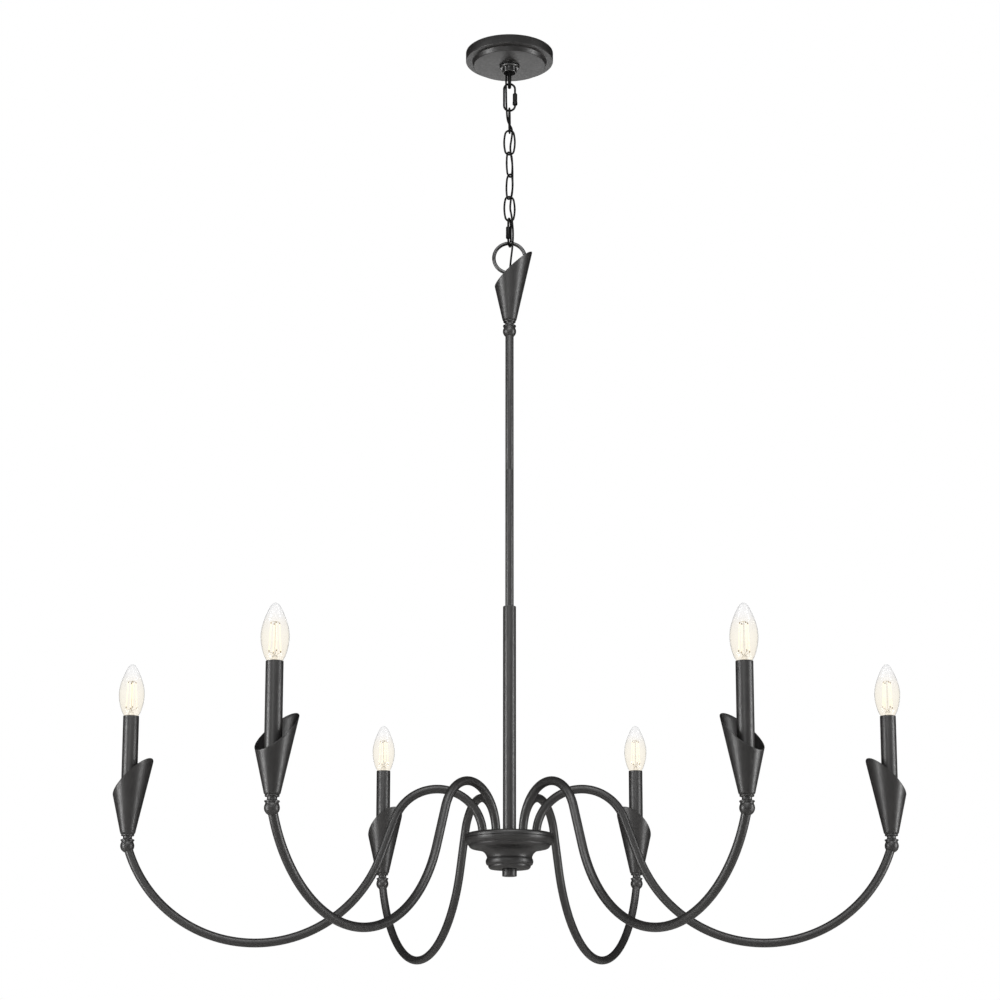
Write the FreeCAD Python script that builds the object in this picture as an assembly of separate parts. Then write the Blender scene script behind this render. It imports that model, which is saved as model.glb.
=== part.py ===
import FreeCAD, Part
import math
import os

# Six-arm candle chandelier, millimetres. Z points up, and the origin is the centre of the canopy
# on the ceiling plane. Everything hangs below it. The viewer stands on the -Y side.

# ---- driving dimensions -------------------------------------------------------------------------

# ceiling canopy and the screw collar that holds it up
CANOPY_DIAMETER = 127.0
CANOPY_BAND_HEIGHT = 13.5
CANOPY_DEPTH = 20.0
CANOPY_LEDGE_WIDTH = 9.5
CANOPY_RISER_SLOPE = 1.8
CANOPY_WALL = 1.3
CANOPY_EDGE_ROUND = 1.0
COLLAR_FLANGE_WIDTH = 4.0
COLLAR_FLANGE_HEIGHT = 4.2
COLLAR_WALL = 1.6
COLLAR_HEIGHT = 11.0
COLLAR_ROUND = 0.7
COLLAR_RIM_HEIGHT = 1.5
COLLAR_SLOPE_WIDTH = 2.5
COLLAR_SLOPE_DEPTH = 3.15

# crossbar behind the canopy
CROSSBAR_LENGTH = 104.0
CROSSBAR_WIDTH = 20.0
CROSSBAR_THICKNESS = 2.4
BOX_SCREW_SPACING = 69.85
BOX_SCREW_HOLE_RADIUS = 2.6

# canopy loop: hollow nipple, threaded neck and eye, in one piece
NIPPLE_RADIUS = 5.0
NIPPLE_WALL = 1.7
NIPPLE_TOP = -0.6
NECK_RADIUS = 9.0
NECK_WALL = 2.2
NECK_TOP = -6.0
NECK_ROOF = 5.0
NECK_FLOOR = 4.0
EYE_WIRE_RADIUS = 2.6
EYE_BEND_RADIUS = 6.1
EYE_REACH = 21.2

# chain: oval links between two quick links, turned about the vertical one after the other
CHAIN_LINK_COUNT = 5
LINK_LENGTH = 39.75
LINK_WIDTH = 18.3
LINK_WIRE_RADIUS = 1.4
LINK_END_RADIUS = 6.4
LINK_AZIMUTHS = (86.0, 176.0, 238.0, 305.0, 375.0)
QUICK_LINK_LENGTH = 44.5
QUICK_LINK_WIDTH = 19.0
QUICK_LINK_WIRE_RADIUS = 1.5
QUICK_LINK_GAP = 3.2
UPPER_QUICK_LINK_AZIMUTH = 0.0
LOWER_QUICK_LINK_AZIMUTH = 257.0
SLEEVE_NUT_RADIUS = 3.3
SLEEVE_NUT_LENGTH = 17.5
SLEEVE_NUT_HEX_RADIUS = 3.6
SLEEVE_NUT_HEX_LENGTH = 5.0
SLEEVE_NUT_LIFT = 0.8
QUICK_LINK_GAP_LIFT = 1.8

# hanging ring, and the stud in the top cup that it passes through
RING_RADIUS = 25.0
RING_WIRE_RADIUS = 2.6
STUD_DROP = 71.95
STUD_RADIUS = 4.6
STUD_BORE_RADIUS = 2.2
STUD_HEAD_RADIUS = 6.0
STUD_HEAD_THICKNESS = 8.0
RING_HOLE_CLEARANCE = 0.5
RING_REST_DEPTH = 0.3

# stem
COUPLER_BALL_RADIUS = 9.5
COUPLER_BALL_DROP = 15.7
COUPLER_FLANGE_RADIUS = 9.3
COUPLER_FLANGE_HEIGHT = 1.6
COUPLER_GROOVE_RADIUS = 8.2
COUPLER_NECK_RADIUS = 6.4
COUPLER_STEP_RADIUS = 8.6
COUPLER_STEP_HEIGHT = 2.2
COUPLER_STEP_BULGE = 0.3
COUPLER_NECK_HEIGHT = 4.9
COUPLER_NECK_WAIST = 0.3
COUPLER_NECK_FILLET = 1.0
COUPLER_BORE_RADIUS = 2.4
ROD_RADIUS = 5.9
ROD_WALL = 1.7
ROD_LENGTH = 197.0
ROD_END_BEVEL = 0.35
PIPE_RADIUS = 9.1
PIPE_WALL = 1.5
PIPE_LENGTH = 318.5
PIPE_END_WALL = 5.0
PIPE_END_ROUND = 0.9
STEM_NIPPLE_WALL = 1.6
STEM_NIPPLE_REACH = 12.0

# hub
HUB_RADIUS = 61.4
HUB_PLATE_THICKNESS = 6.5
HUB_PLATE_EDGE_ROUND = 4.5
HUB_PLATE_LOWER_BEVEL = 0.6
HUB_SEAM_GAP = 0.3
BOWL_RIM_DEPTH = 8.2
BOWL_STEP_RADIUS = 55.8
BOWL_STEP_DEPTH = 5.2
BOWL_COVE_RADIUS = 39.8
BOWL_NECK_RADIUS = 30.9
BOWL_COVE_DEPTH = 10.8
BOWL_BEAD_RADIUS = 32.6
BOWL_BEAD_HEIGHT = 9.2
BOWL_BASE_RADIUS = 29.2
BOWL_FLOOR_RADIUS = 26.6
BOWL_DEPTH = 48.5
BOWL_WALL = 2.0
BOWL_LIP_BEVEL = 0.7
BOWL_RIM_TAPER = 3.6
BOWL_RIM_BULGE = 0.83
BOWL_STEP_LEDGE = 0.4
BOWL_STEP_SIDE = 1.6
BOWL_STEP_ROUND = 5.2
BOWL_STEP_BULGE = 1.23
BOWL_COVE_LIFT = 2.6
BOWL_COVE_HOLLOW = 2.06
BOWL_BEAD_LEDGE = 1.0
BOWL_BASE_BULGE = 0.79
TIE_ROD_RADIUS = 4.0
FINIAL_RADIUS = 10.0
FINIAL_HEIGHT = 10.0
FINIAL_ROUND = 0.8
FINIAL_HEAD = 2.5
TIE_ROD_TIP_GAP = 0.5
ARM_CIRCLE_RADIUS = 36.7
LOCK_NUT_WIDTH = 3.5
LOCK_NUT_HEIGHT = 4.0
ARM_LIP_WIDTH = 1.2
ARM_LIP_HEIGHT = 1.5

# arms: a tube that rises out of the hub, turns over and sweeps down and up to the candle
ARM_TUBE_RADIUS = 6.0
ARM_TUBE_WALL = 1.0
ARM_REACH = 481.9
ARM_HUMP_RADIUS = 62.0
ARM_HUMP_DROP = 1.0
ARM_SWEEP_RADIUS = 180.0
ARM_END_LEAN = 19.2
ARM_END_STRAIGHT = 9.5
CUP_BASE_BELOW_HUB = 5.5

# candle: oblique-cut cup, socket, cover tube and bulb
CUP_BASE_RADIUS = 8.6
CUP_HEEL_RADIUS = 10.3
CUP_HEEL_HEIGHT = 2.6
CUP_FLARE = 0.222
CUP_LOW_RIM = 52.0
CUP_TIP = 103.0
CUP_WALL = 1.1
CUP_FLOOR = 1.6
CUP_HOLE_RADIUS = 3.3
CUP_TRIM = 10.0
COVER_RADIUS = 10.8
COVER_WALL = 1.0
COVER_TOP = 162.3
SOCKET_RADIUS = 8.9
SOCKET_LENGTH = 40.0
SOCKET_POST_RADIUS = 4.2
SOCKET_BORE_DEPTH = 21.5
SOCKET_BEVEL = 1.0
SOCKET_BELOW_COVER_TOP = 8.0
BULB_BASE_RADIUS = 5.95
BULB_BASE_LENGTH = 21.0
BULB_CONTACT_RADIUS = 3.3
BULB_CONTACT_HEIGHT = 2.5
BULB_NECK_RADIUS = 7.6
BULB_MOUTH_RADIUS = 9.4
BULB_RADIUS = 17.4
BULB_BELLY_HEIGHT = 29.0
BULB_SHOULDER_RADIUS = 9.6
BULB_SHOULDER_HEIGHT = 61.0
BULB_TIP_HEIGHT = 72.0
BULB_TIP_RADIUS = 0.8
BULB_GLASS = 0.9
BULB_BELLY_BEND = (0.72, 0.42)
BULB_SHOULDER_BEND = 0.72
BULB_SHOULDER_BEND_LIFT = 0.8
BULB_TIP_BEND = (0.62, 0.69)

# lead cord, threaded through the chain from the canopy down into the stem
CORD_RADIUS = 1.4
CORD_HOLE_CLEARANCE = 0.5
CORD_END_HEIGHT = 4.0
CORD_BEND_SHARE = 0.45

# clearances
RUNNING_CLEARANCE = 0.05
SLIDING_CLEARANCE = 0.1
LINK_CLEARANCE = 0.3
COVER_CLEARANCE = 0.1
CANOPY_HOLE_CLEARANCE = 0.4

# the way each arm is swung about its root, and the way each cup's tip is turned, in plan
ARMS = {
    "right": {"root": 0.0, "azimuth": -4.6, "tip": 198.0},
    "back_right": {"root": 60.0, "azimuth": 68.0, "tip": 230.0},
    "back_left": {"root": 120.0, "azimuth": 112.0, "tip": -50.0},
    "left": {"root": 180.0, "azimuth": 184.6, "tip": -18.0},
    "front_left": {"root": 240.0, "azimuth": 236.7, "tip": 46.0},
    "front_right": {"root": 300.0, "azimuth": 303.3, "tip": 134.0},
}

# ---- radii that follow from the ones above -----------------------------------------------------

COLLAR_BARREL_RADIUS = NECK_RADIUS + COLLAR_WALL
COLLAR_FLANGE_RADIUS = COLLAR_BARREL_RADIUS + COLLAR_FLANGE_WIDTH
NIPPLE_BORE_RADIUS = NIPPLE_RADIUS - NIPPLE_WALL
NECK_CAVITY_RADIUS = NECK_RADIUS - NECK_WALL
ROD_BORE_RADIUS = ROD_RADIUS - ROD_WALL
PIPE_BORE_RADIUS = PIPE_RADIUS - PIPE_WALL
STEM_NIPPLE_BORE_RADIUS = ROD_BORE_RADIUS - STEM_NIPPLE_WALL
ARM_TUBE_BORE_RADIUS = ARM_TUBE_RADIUS - ARM_TUBE_WALL
ARM_LIP_RADIUS = ARM_TUBE_RADIUS + ARM_LIP_WIDTH

# A quarter round's middle lies this share of its radius in from each side. A rounded edge takes no
# more than the round limit's share of its wall.
ARC_INSET = 1 - math.sqrt(0.5)
ROUND_LIMIT = 0.8

# ---- heights worked out from the top down -------------------------------------------------------

COLLAR_TOP = -CANOPY_DEPTH
NECK_BOTTOM = COLLAR_TOP - COLLAR_HEIGHT
EYE_WIRE_Z = NECK_BOTTOM - EYE_REACH
UPPER_QUICK_LINK_TOP = EYE_WIRE_Z + EYE_WIRE_RADIUS + LINK_CLEARANCE + 2 * QUICK_LINK_WIRE_RADIUS


def next_top(bottom, wire_radius, next_wire_radius):
    """Top of a link that hangs on the bottom wire of the link above it."""
    return bottom + 2 * wire_radius + LINK_CLEARANCE + 2 * next_wire_radius


LINK_TOPS = []
hanging_bottom = UPPER_QUICK_LINK_TOP - QUICK_LINK_LENGTH
hanging_wire = QUICK_LINK_WIRE_RADIUS
for _ in range(CHAIN_LINK_COUNT):
    LINK_TOPS.append(next_top(hanging_bottom, hanging_wire, LINK_WIRE_RADIUS))
    hanging_bottom = LINK_TOPS[-1] - LINK_LENGTH
    hanging_wire = LINK_WIRE_RADIUS
LOWER_QUICK_LINK_TOP = next_top(hanging_bottom, LINK_WIRE_RADIUS, QUICK_LINK_WIRE_RADIUS)
RING_TOP = next_top(
    LOWER_QUICK_LINK_TOP - QUICK_LINK_LENGTH, QUICK_LINK_WIRE_RADIUS, RING_WIRE_RADIUS
)
RING_Z = RING_TOP - RING_RADIUS
RING_BEND_RADIUS = RING_RADIUS - RING_WIRE_RADIUS
RING_BOTTOM_WIRE_Z = RING_Z - RING_BEND_RADIUS
TOP_CUP_BASE_Z = RING_BOTTOM_WIRE_Z - STUD_DROP
TOP_BALL_Z = TOP_CUP_BASE_Z - COUPLER_BALL_DROP
ROD_TOP_Z = TOP_BALL_Z - math.sqrt(COUPLER_BALL_RADIUS**2 - ROD_RADIUS**2)
ROD_JOINT_Z = ROD_TOP_Z - ROD_LENGTH
PIPE_TOP_Z = ROD_JOINT_Z - ROD_LENGTH
HUB_Z = PIPE_TOP_Z - PIPE_LENGTH
CUP_BASE_Z = HUB_Z - CUP_BASE_BELOW_HUB
ARM_NUT_BOTTOM_Z = HUB_Z - HUB_PLATE_THICKNESS - LOCK_NUT_HEIGHT
ARM_FOOT_Z = ARM_NUT_BOTTOM_Z - LINK_CLEARANCE - ARM_LIP_HEIGHT

parts = {}


def vec(x, y, z):
    return FreeCAD.Vector(x, y, z)


Z_AXIS = vec(0, 0, 1)
ORIGIN = vec(0, 0, 0)

# ---- solid builders -----------------------------------------------------------------------------


def line(start, end):
    return Part.LineSegment(vec(*start), vec(*end)).toShape()


def arc(start, middle, end):
    return Part.Arc(vec(*start), vec(*middle), vec(*end)).toShape()


def turned(*stretches):
    """Solid turned about Z. Each stretch is a list of (radius, z) points: two for a straight line,
    three for an arc, and each begins where the last one ended."""
    edges = []
    for points in stretches:
        ends = [(radius, 0.0, z) for radius, z in points]
        edges.append(line(*ends) if len(ends) == 2 else arc(*ends))
    return Part.Face(Part.Wire(edges)).revolve(ORIGIN, Z_AXIS, 360)


def bulged(start, end, bulge):
    """Arc from start to end whose middle stands off the chord by bulge, to the left."""
    (x1, z1), (x2, z2) = start, end
    chord = math.hypot(x2 - x1, z2 - z1)
    middle = ((x1 + x2 - 2 * bulge * (z2 - z1) / chord) / 2, (z1 + z2 + 2 * bulge * (x2 - x1) / chord) / 2)
    return [start, middle, end]


def turned_polygon(*corners):
    """Solid turned about Z from straight-sided (radius, z) corners."""
    closed = list(corners) + [corners[0]]
    return turned(*[[closed[i], closed[i + 1]] for i in range(len(corners))])


def cylinder(radius, bottom, top, x=0.0, y=0.0):
    return Part.makeCylinder(radius, top - bottom, vec(x, y, bottom))


def tube(radius, bore, bottom, top):
    return cylinder(radius, bottom, top).cut(cylinder(bore, bottom - 1, top + 1))


def round_bar(edges, radius, bore=0.0):
    """Round bar or tube along tangent straight and arc edges, each extruded or turned exactly."""
    pieces = []
    for edge in edges:
        start = edge.valueAt(edge.FirstParameter)
        along = edge.tangentAt(edge.FirstParameter)
        section = Part.Face(Part.Wire([Part.Circle(start, along, radius).toShape()]))
        if bore:
            section = section.cut(Part.Face(Part.Wire([Part.Circle(start, along, bore).toShape()])))
        if isinstance(edge.Curve, Part.Circle):
            turn = math.degrees(edge.LastParameter - edge.FirstParameter)
            pieces.append(section.revolve(edge.Curve.Center, edge.Curve.Axis, turn))
        else:
            pieces.append(section.extrude(edge.valueAt(edge.LastParameter) - start))
    solid = pieces[0] if len(pieces) == 1 else pieces[0].multiFuse(pieces[1:])
    solids = solid.removeSplitter().Solids
    return solids[0] if len(solids) == 1 else Part.makeCompound(solids)


def rounded_path(points):
    """Straight runs joined by tangent arcs, each as large as its two runs allow."""
    corners = [vec(*point) for point in points]
    edges = []
    radii = []
    here = corners[0]
    for before, corner, after in zip(corners, corners[1:], corners[2:]):
        back = (before - corner).normalize()
        ahead = (after - corner).normalize()
        turn = math.pi - back.getAngle(ahead)
        shorter = min((before - corner).Length, (after - corner).Length)
        radius = CORD_BEND_SHARE * shorter / math.tan(turn / 2)
        trim = CORD_BEND_SHARE * shorter
        enter = corner + back * trim
        leave = corner + ahead * trim
        inward = (back + ahead).normalize()
        middle = corner + inward * (radius / math.cos(turn / 2) - radius)
        edges.append(Part.LineSegment(here, enter).toShape())
        edges.append(Part.Arc(enter, middle, leave).toShape())
        radii.append(radius)
        here = leave
    edges.append(Part.LineSegment(here, corners[-1]).toShape())
    return edges, radii


def placed(shape, azimuth, x=0.0, y=0.0, z=0.0):
    """Turned about Z by azimuth degrees, then moved."""
    moved = shape.copy()
    moved.rotate(ORIGIN, Z_AXIS, azimuth)
    moved.translate(vec(x, y, z))
    return moved


# ---- ceiling ------------------------------------------------------------------------------------


def crossbar():
    bar = Part.makeBox(
        CROSSBAR_LENGTH,
        CROSSBAR_WIDTH,
        CROSSBAR_THICKNESS,
        vec(-CROSSBAR_LENGTH / 2, -CROSSBAR_WIDTH / 2, -CROSSBAR_THICKNESS),
    )
    corners = [edge for edge in bar.Edges if abs(edge.tangentAt(0).z) > 0.99]
    bar = bar.makeFillet(CROSSBAR_WIDTH / 4, corners)
    bar = bar.cut(cylinder(NIPPLE_RADIUS, -CROSSBAR_THICKNESS - 1, 1))
    for side in (-1, 1):
        screw_x = side * BOX_SCREW_SPACING / 2
        bar = bar.cut(cylinder(BOX_SCREW_HOLE_RADIUS, -CROSSBAR_THICKNESS - 1, 1, screw_x))
    return bar


def canopy_loop():
    """Hollow nipple, threaded neck with a wire hole beside the eye, and the eye that holds the
    chain. The eye stands in the YZ plane."""
    nipple = cylinder(NIPPLE_RADIUS, NECK_TOP - NECK_ROOF, NIPPLE_TOP)
    neck = cylinder(NECK_RADIUS, NECK_BOTTOM, NECK_TOP)
    cavity = cylinder(NECK_CAVITY_RADIUS, NECK_BOTTOM + NECK_FLOOR, NECK_TOP - NECK_ROOF)
    eye_centre = EYE_WIRE_Z + EYE_BEND_RADIUS
    leg_top = NECK_BOTTOM + NECK_FLOOR / 2
    eye = round_bar(
        [
            line((0, -EYE_BEND_RADIUS, leg_top), (0, -EYE_BEND_RADIUS, eye_centre)),
            arc(
                (0, -EYE_BEND_RADIUS, eye_centre),
                (0, 0, EYE_WIRE_Z),
                (0, EYE_BEND_RADIUS, eye_centre),
            ),
            line((0, EYE_BEND_RADIUS, eye_centre), (0, EYE_BEND_RADIUS, leg_top)),
        ],
        EYE_WIRE_RADIUS,
    )
    body = nipple.fuse(neck).cut(cavity)
    body = body.cut(cylinder(NIPPLE_BORE_RADIUS, NECK_TOP - NECK_ROOF - 1, 1))
    body = body.fuse(eye)
    hole_x, hole_y = CORD_EXIT
    hole_top = NECK_BOTTOM + NECK_FLOOR + 1
    body = body.cut(cylinder(CORD_HOLE_RADIUS, NECK_BOTTOM - 1, hole_top, hole_x, hole_y))
    return body.removeSplitter()


def canopy():
    rim = CANOPY_DIAMETER / 2
    ledge = rim - CANOPY_LEDGE_WIDTH
    face = ledge - CANOPY_RISER_SLOPE
    hole = NECK_RADIUS + CANOPY_HOLE_CLEARANCE
    wall = CANOPY_WALL
    shell = turned_polygon(
        (rim, 0),
        (rim, -CANOPY_BAND_HEIGHT),
        (ledge, -CANOPY_BAND_HEIGHT),
        (face, -CANOPY_DEPTH),
        (hole, -CANOPY_DEPTH),
        (hole, -CANOPY_DEPTH + wall),
        (face - wall, -CANOPY_DEPTH + wall),
        (ledge - wall, -CANOPY_BAND_HEIGHT + wall),
        (rim - wall, -CANOPY_BAND_HEIGHT + wall),
        (rim - wall, 0),
    )
    outer_corners = [(rim, -CANOPY_BAND_HEIGHT), (face, -CANOPY_DEPTH)]
    edges = [
        edge
        for edge in shell.Edges
        if isinstance(edge.Curve, Part.Circle)
        and any(
            abs(edge.Curve.Radius - r) < 1e-4 and abs(edge.Curve.Center.z - z) < 1e-4
            for r, z in outer_corners
        )
    ]
    return shell.makeFillet(min(CANOPY_EDGE_ROUND, CANOPY_WALL * ROUND_LIMIT), edges)


def canopy_collar():
    bore = NECK_RADIUS + RUNNING_CLEARANCE
    flange_bottom = COLLAR_TOP - COLLAR_FLANGE_HEIGHT
    bottom = COLLAR_TOP - COLLAR_HEIGHT
    slope = COLLAR_FLANGE_RADIUS - COLLAR_SLOPE_WIDTH
    return turned(
        [(bore, COLLAR_TOP), (COLLAR_FLANGE_RADIUS, COLLAR_TOP)],
        [
            (COLLAR_FLANGE_RADIUS, COLLAR_TOP),
            (COLLAR_FLANGE_RADIUS, COLLAR_TOP - COLLAR_RIM_HEIGHT),
        ],
        [
            (COLLAR_FLANGE_RADIUS, COLLAR_TOP - COLLAR_RIM_HEIGHT),
            (COLLAR_FLANGE_RADIUS - COLLAR_ROUND, COLLAR_TOP - COLLAR_SLOPE_DEPTH),
            (slope, flange_bottom),
        ],
        [(slope, flange_bottom), (COLLAR_BARREL_RADIUS, flange_bottom)],
        [(COLLAR_BARREL_RADIUS, flange_bottom), (COLLAR_BARREL_RADIUS, bottom + COLLAR_ROUND)],
        [
            (COLLAR_BARREL_RADIUS, bottom + COLLAR_ROUND),
            (COLLAR_BARREL_RADIUS - COLLAR_ROUND * ARC_INSET, bottom + COLLAR_ROUND * ARC_INSET),
            (COLLAR_BARREL_RADIUS - COLLAR_ROUND, bottom),
        ],
        [(COLLAR_BARREL_RADIUS - COLLAR_ROUND, bottom), (bore, bottom)],
        [(bore, bottom), (bore, COLLAR_TOP)],
    )


# ---- chain --------------------------------------------------------------------------------------


def chain_link():
    """Oval link in the XZ plane, its top at z = 0: two tight end arcs and two long side arcs."""
    half_length = LINK_LENGTH / 2 - LINK_WIRE_RADIUS
    half_width = LINK_WIDTH / 2 - LINK_WIRE_RADIUS
    end_centre = half_length - LINK_END_RADIUS
    side_radius = (end_centre**2 + half_width**2 - LINK_END_RADIUS**2) / (
        2 * (half_width - LINK_END_RADIUS)
    )
    side_centre = side_radius - half_width
    towards = math.atan2(end_centre, side_centre)
    joint_x = LINK_END_RADIUS * math.cos(towards)
    joint_z = end_centre + LINK_END_RADIUS * math.sin(towards)
    right_top = (joint_x, 0, joint_z)
    left_top = (-joint_x, 0, joint_z)
    left_bottom = (-joint_x, 0, -joint_z)
    right_bottom = (joint_x, 0, -joint_z)
    link = round_bar(
        [
            arc(right_top, (0, 0, half_length), left_top),
            arc(left_top, (-half_width, 0, 0), left_bottom),
            arc(left_bottom, (0, 0, -half_length), right_bottom),
            arc(right_bottom, (half_width, 0, 0), right_top),
        ],
        LINK_WIRE_RADIUS,
    )
    return placed(link, 0, z=-LINK_LENGTH / 2)


def quick_link():
    """Straight-sided link in the XZ plane, its top at z = 0, open at the foot of its right leg."""
    wire = QUICK_LINK_WIRE_RADIUS
    bend = QUICK_LINK_WIDTH / 2 - wire
    top_z = -wire - bend
    bottom_z = -QUICK_LINK_LENGTH + wire + bend
    gap_bottom = bottom_z + QUICK_LINK_GAP_LIFT
    gap_top = gap_bottom + QUICK_LINK_GAP
    return round_bar(
        [
            line((bend, 0, gap_top), (bend, 0, top_z)),
            arc((bend, 0, top_z), (0, 0, -wire), (-bend, 0, top_z)),
            line((-bend, 0, top_z), (-bend, 0, bottom_z)),
            arc((-bend, 0, bottom_z), (0, 0, bottom_z - bend), (bend, 0, bottom_z)),
            line((bend, 0, bottom_z), (bend, 0, gap_bottom)),
        ],
        wire,
    )


def sleeve_nut():
    """Threaded sleeve that closes a quick link: a plain barrel with a six-sided foot."""
    bend = QUICK_LINK_WIDTH / 2 - QUICK_LINK_WIRE_RADIUS
    foot = -QUICK_LINK_LENGTH + QUICK_LINK_WIRE_RADIUS + bend + SLEEVE_NUT_LIFT
    bevel = SLEEVE_NUT_RADIUS / 5
    barrel = turned_polygon(
        (0, foot),
        (SLEEVE_NUT_RADIUS, foot),
        (SLEEVE_NUT_RADIUS, foot + SLEEVE_NUT_LENGTH - bevel),
        (SLEEVE_NUT_RADIUS - bevel, foot + SLEEVE_NUT_LENGTH),
        (0, foot + SLEEVE_NUT_LENGTH),
    )
    corners = [
        vec(
            SLEEVE_NUT_HEX_RADIUS * math.cos(math.radians(60 * i)),
            SLEEVE_NUT_HEX_RADIUS * math.sin(math.radians(60 * i)),
            foot,
        )
        for i in range(7)
    ]
    hexagon = Part.Face(Part.makePolygon(corners)).extrude(vec(0, 0, SLEEVE_NUT_HEX_LENGTH))
    bore = QUICK_LINK_WIRE_RADIUS + RUNNING_CLEARANCE
    nut = barrel.fuse(hexagon).cut(cylinder(bore, foot - 1, foot + SLEEVE_NUT_LENGTH + 1))
    return placed(nut.removeSplitter(), 0, x=bend)


def hanging_ring():
    return Part.makeTorus(RING_BEND_RADIUS, RING_WIRE_RADIUS, vec(0, 0, RING_Z), vec(0, 1, 0))


# ---- stem ---------------------------------------------------------------------------------------


def cup():
    """Calla cup standing on z = 0, its tip towards +X: a flared cone cut by a slanted plane."""
    slant = math.sqrt(1 + CUP_FLARE**2)
    top = CUP_TIP + CUP_TRIM
    heel_inner = CUP_HEEL_RADIUS - CUP_WALL * slant
    top_outer = CUP_HEEL_RADIUS + CUP_FLARE * (top - CUP_HEEL_HEIGHT)
    cone = turned_polygon(
        (CUP_HOLE_RADIUS, 0),
        (CUP_BASE_RADIUS, 0),
        (CUP_HEEL_RADIUS, CUP_HEEL_HEIGHT),
        (top_outer, top),
        (top_outer - CUP_WALL * slant, top),
        (heel_inner, CUP_HEEL_HEIGHT),
        (CUP_BASE_RADIUS - CUP_WALL, CUP_FLOOR),
        (CUP_HOLE_RADIUS, CUP_FLOOR),
    )
    low_x = -CUP_HEEL_RADIUS - CUP_FLARE * (CUP_LOW_RIM - CUP_HEEL_HEIGHT)
    tip_x = CUP_HEEL_RADIUS + CUP_FLARE * (CUP_TIP - CUP_HEEL_HEIGHT)
    rise = (CUP_TIP - CUP_LOW_RIM) / (tip_x - low_x)
    reach = 2 * top_outer
    waste_corners = [
        vec(low_x - reach, -reach, CUP_LOW_RIM - rise * reach),
        vec(tip_x + reach, -reach, CUP_TIP + rise * reach),
        vec(tip_x + reach, -reach, CUP_TIP + rise * reach + reach),
        vec(low_x - reach, -reach, CUP_TIP + rise * reach + reach),
    ]
    waste = Part.Face(Part.makePolygon(waste_corners + waste_corners[:1])).extrude(vec(0, 2 * reach, 0))
    return cone.cut(waste)


def coupler():
    """Turned coupler that hangs under a cup standing on z = 0: step, neck, flange and ball."""
    neck_top = -COUPLER_STEP_HEIGHT
    flange_top = neck_top - COUPLER_NECK_HEIGHT
    flange_bottom = flange_top - COUPLER_FLANGE_HEIGHT
    ball_z = -COUPLER_BALL_DROP
    ball = COUPLER_BALL_RADIUS
    groove_z = ball_z + math.sqrt(ball**2 - COUPLER_GROOVE_RADIUS**2)
    bore = COUPLER_BORE_RADIUS
    fillet = COUPLER_NECK_FILLET
    return turned(
        [(bore, 0), (COUPLER_STEP_RADIUS, 0)],
        [
            (COUPLER_STEP_RADIUS, 0),
            (COUPLER_STEP_RADIUS + COUPLER_STEP_BULGE, neck_top / 2),
            (COUPLER_STEP_RADIUS, neck_top),
        ],
        [(COUPLER_STEP_RADIUS, neck_top), (COUPLER_NECK_RADIUS, neck_top)],
        [
            (COUPLER_NECK_RADIUS, neck_top),
            (COUPLER_NECK_RADIUS - COUPLER_NECK_WAIST, (neck_top + flange_top) / 2),
            (COUPLER_NECK_RADIUS, flange_top + fillet),
        ],
        [(COUPLER_NECK_RADIUS, flange_top + fillet), (COUPLER_FLANGE_RADIUS, flange_top)],
        [(COUPLER_FLANGE_RADIUS, flange_top), (COUPLER_FLANGE_RADIUS, flange_bottom)],
        [(COUPLER_FLANGE_RADIUS, flange_bottom), (COUPLER_GROOVE_RADIUS, flange_bottom)],
        [(COUPLER_GROOVE_RADIUS, flange_bottom), (COUPLER_GROOVE_RADIUS, groove_z)],
        [
            (COUPLER_GROOVE_RADIUS, groove_z),
            (ball, ball_z),
            (bore, ball_z - math.sqrt(ball**2 - bore**2)),
        ],
        [(bore, ball_z - math.sqrt(ball**2 - bore**2)), (bore, 0)],
    )


def top_stud():
    """Stud screwed into the top cup: a round head with a cross hole for the ring, a plain shank
    and a slanted wire hole that leads the cord into the shank's bore."""
    hole_radius = RING_WIRE_RADIUS + RING_HOLE_CLEARANCE + ring_sagitta(STUD_HEAD_THICKNESS)
    hole_z = RING_BOTTOM_WIRE_Z - RING_REST_DEPTH + ring_sagitta(STUD_HEAD_THICKNESS) / 2
    bottom = TOP_CUP_BASE_Z - COUPLER_STEP_HEIGHT - COUPLER_NECK_HEIGHT
    half = STUD_HEAD_THICKNESS / 2
    x_axis = vec(1, 0, 0)
    head = Part.makeCylinder(STUD_HEAD_RADIUS, STUD_HEAD_THICKNESS, vec(-half, 0, hole_z), x_axis)
    shank = cylinder(STUD_RADIUS, TOP_CUP_BASE_Z + CUP_FLOOR, hole_z - STUD_HEAD_RADIUS / 2)
    tail = cylinder(CUP_HOLE_RADIUS, TOP_CUP_BASE_Z, TOP_CUP_BASE_Z + CUP_FLOOR)
    stud = head.fuse(shank).fuse(tail)
    stud = stud.cut(Part.makeCylinder(hole_radius, 4 * half, vec(-2 * half, 0, hole_z), x_axis))
    inlet_outside, inlet_inside = CORD_INLET
    stud = stud.cut(cylinder(STUD_BORE_RADIUS, bottom, inlet_inside[2]))
    slanted = vec(*inlet_outside) - vec(*inlet_inside)
    stud = stud.cut(
        Part.makeCylinder(STUD_BORE_RADIUS, slanted.Length, vec(*inlet_inside), slanted)
    )
    stud = stud.cut(Part.makeSphere(STUD_BORE_RADIUS + SLIDING_CLEARANCE, vec(*inlet_inside)))
    return stud.removeSplitter()


def ring_sagitta(chord):
    """How far the ring's wire curves over a chord."""
    return RING_BEND_RADIUS - math.sqrt(RING_BEND_RADIUS**2 - (chord / 2) ** 2)


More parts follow.
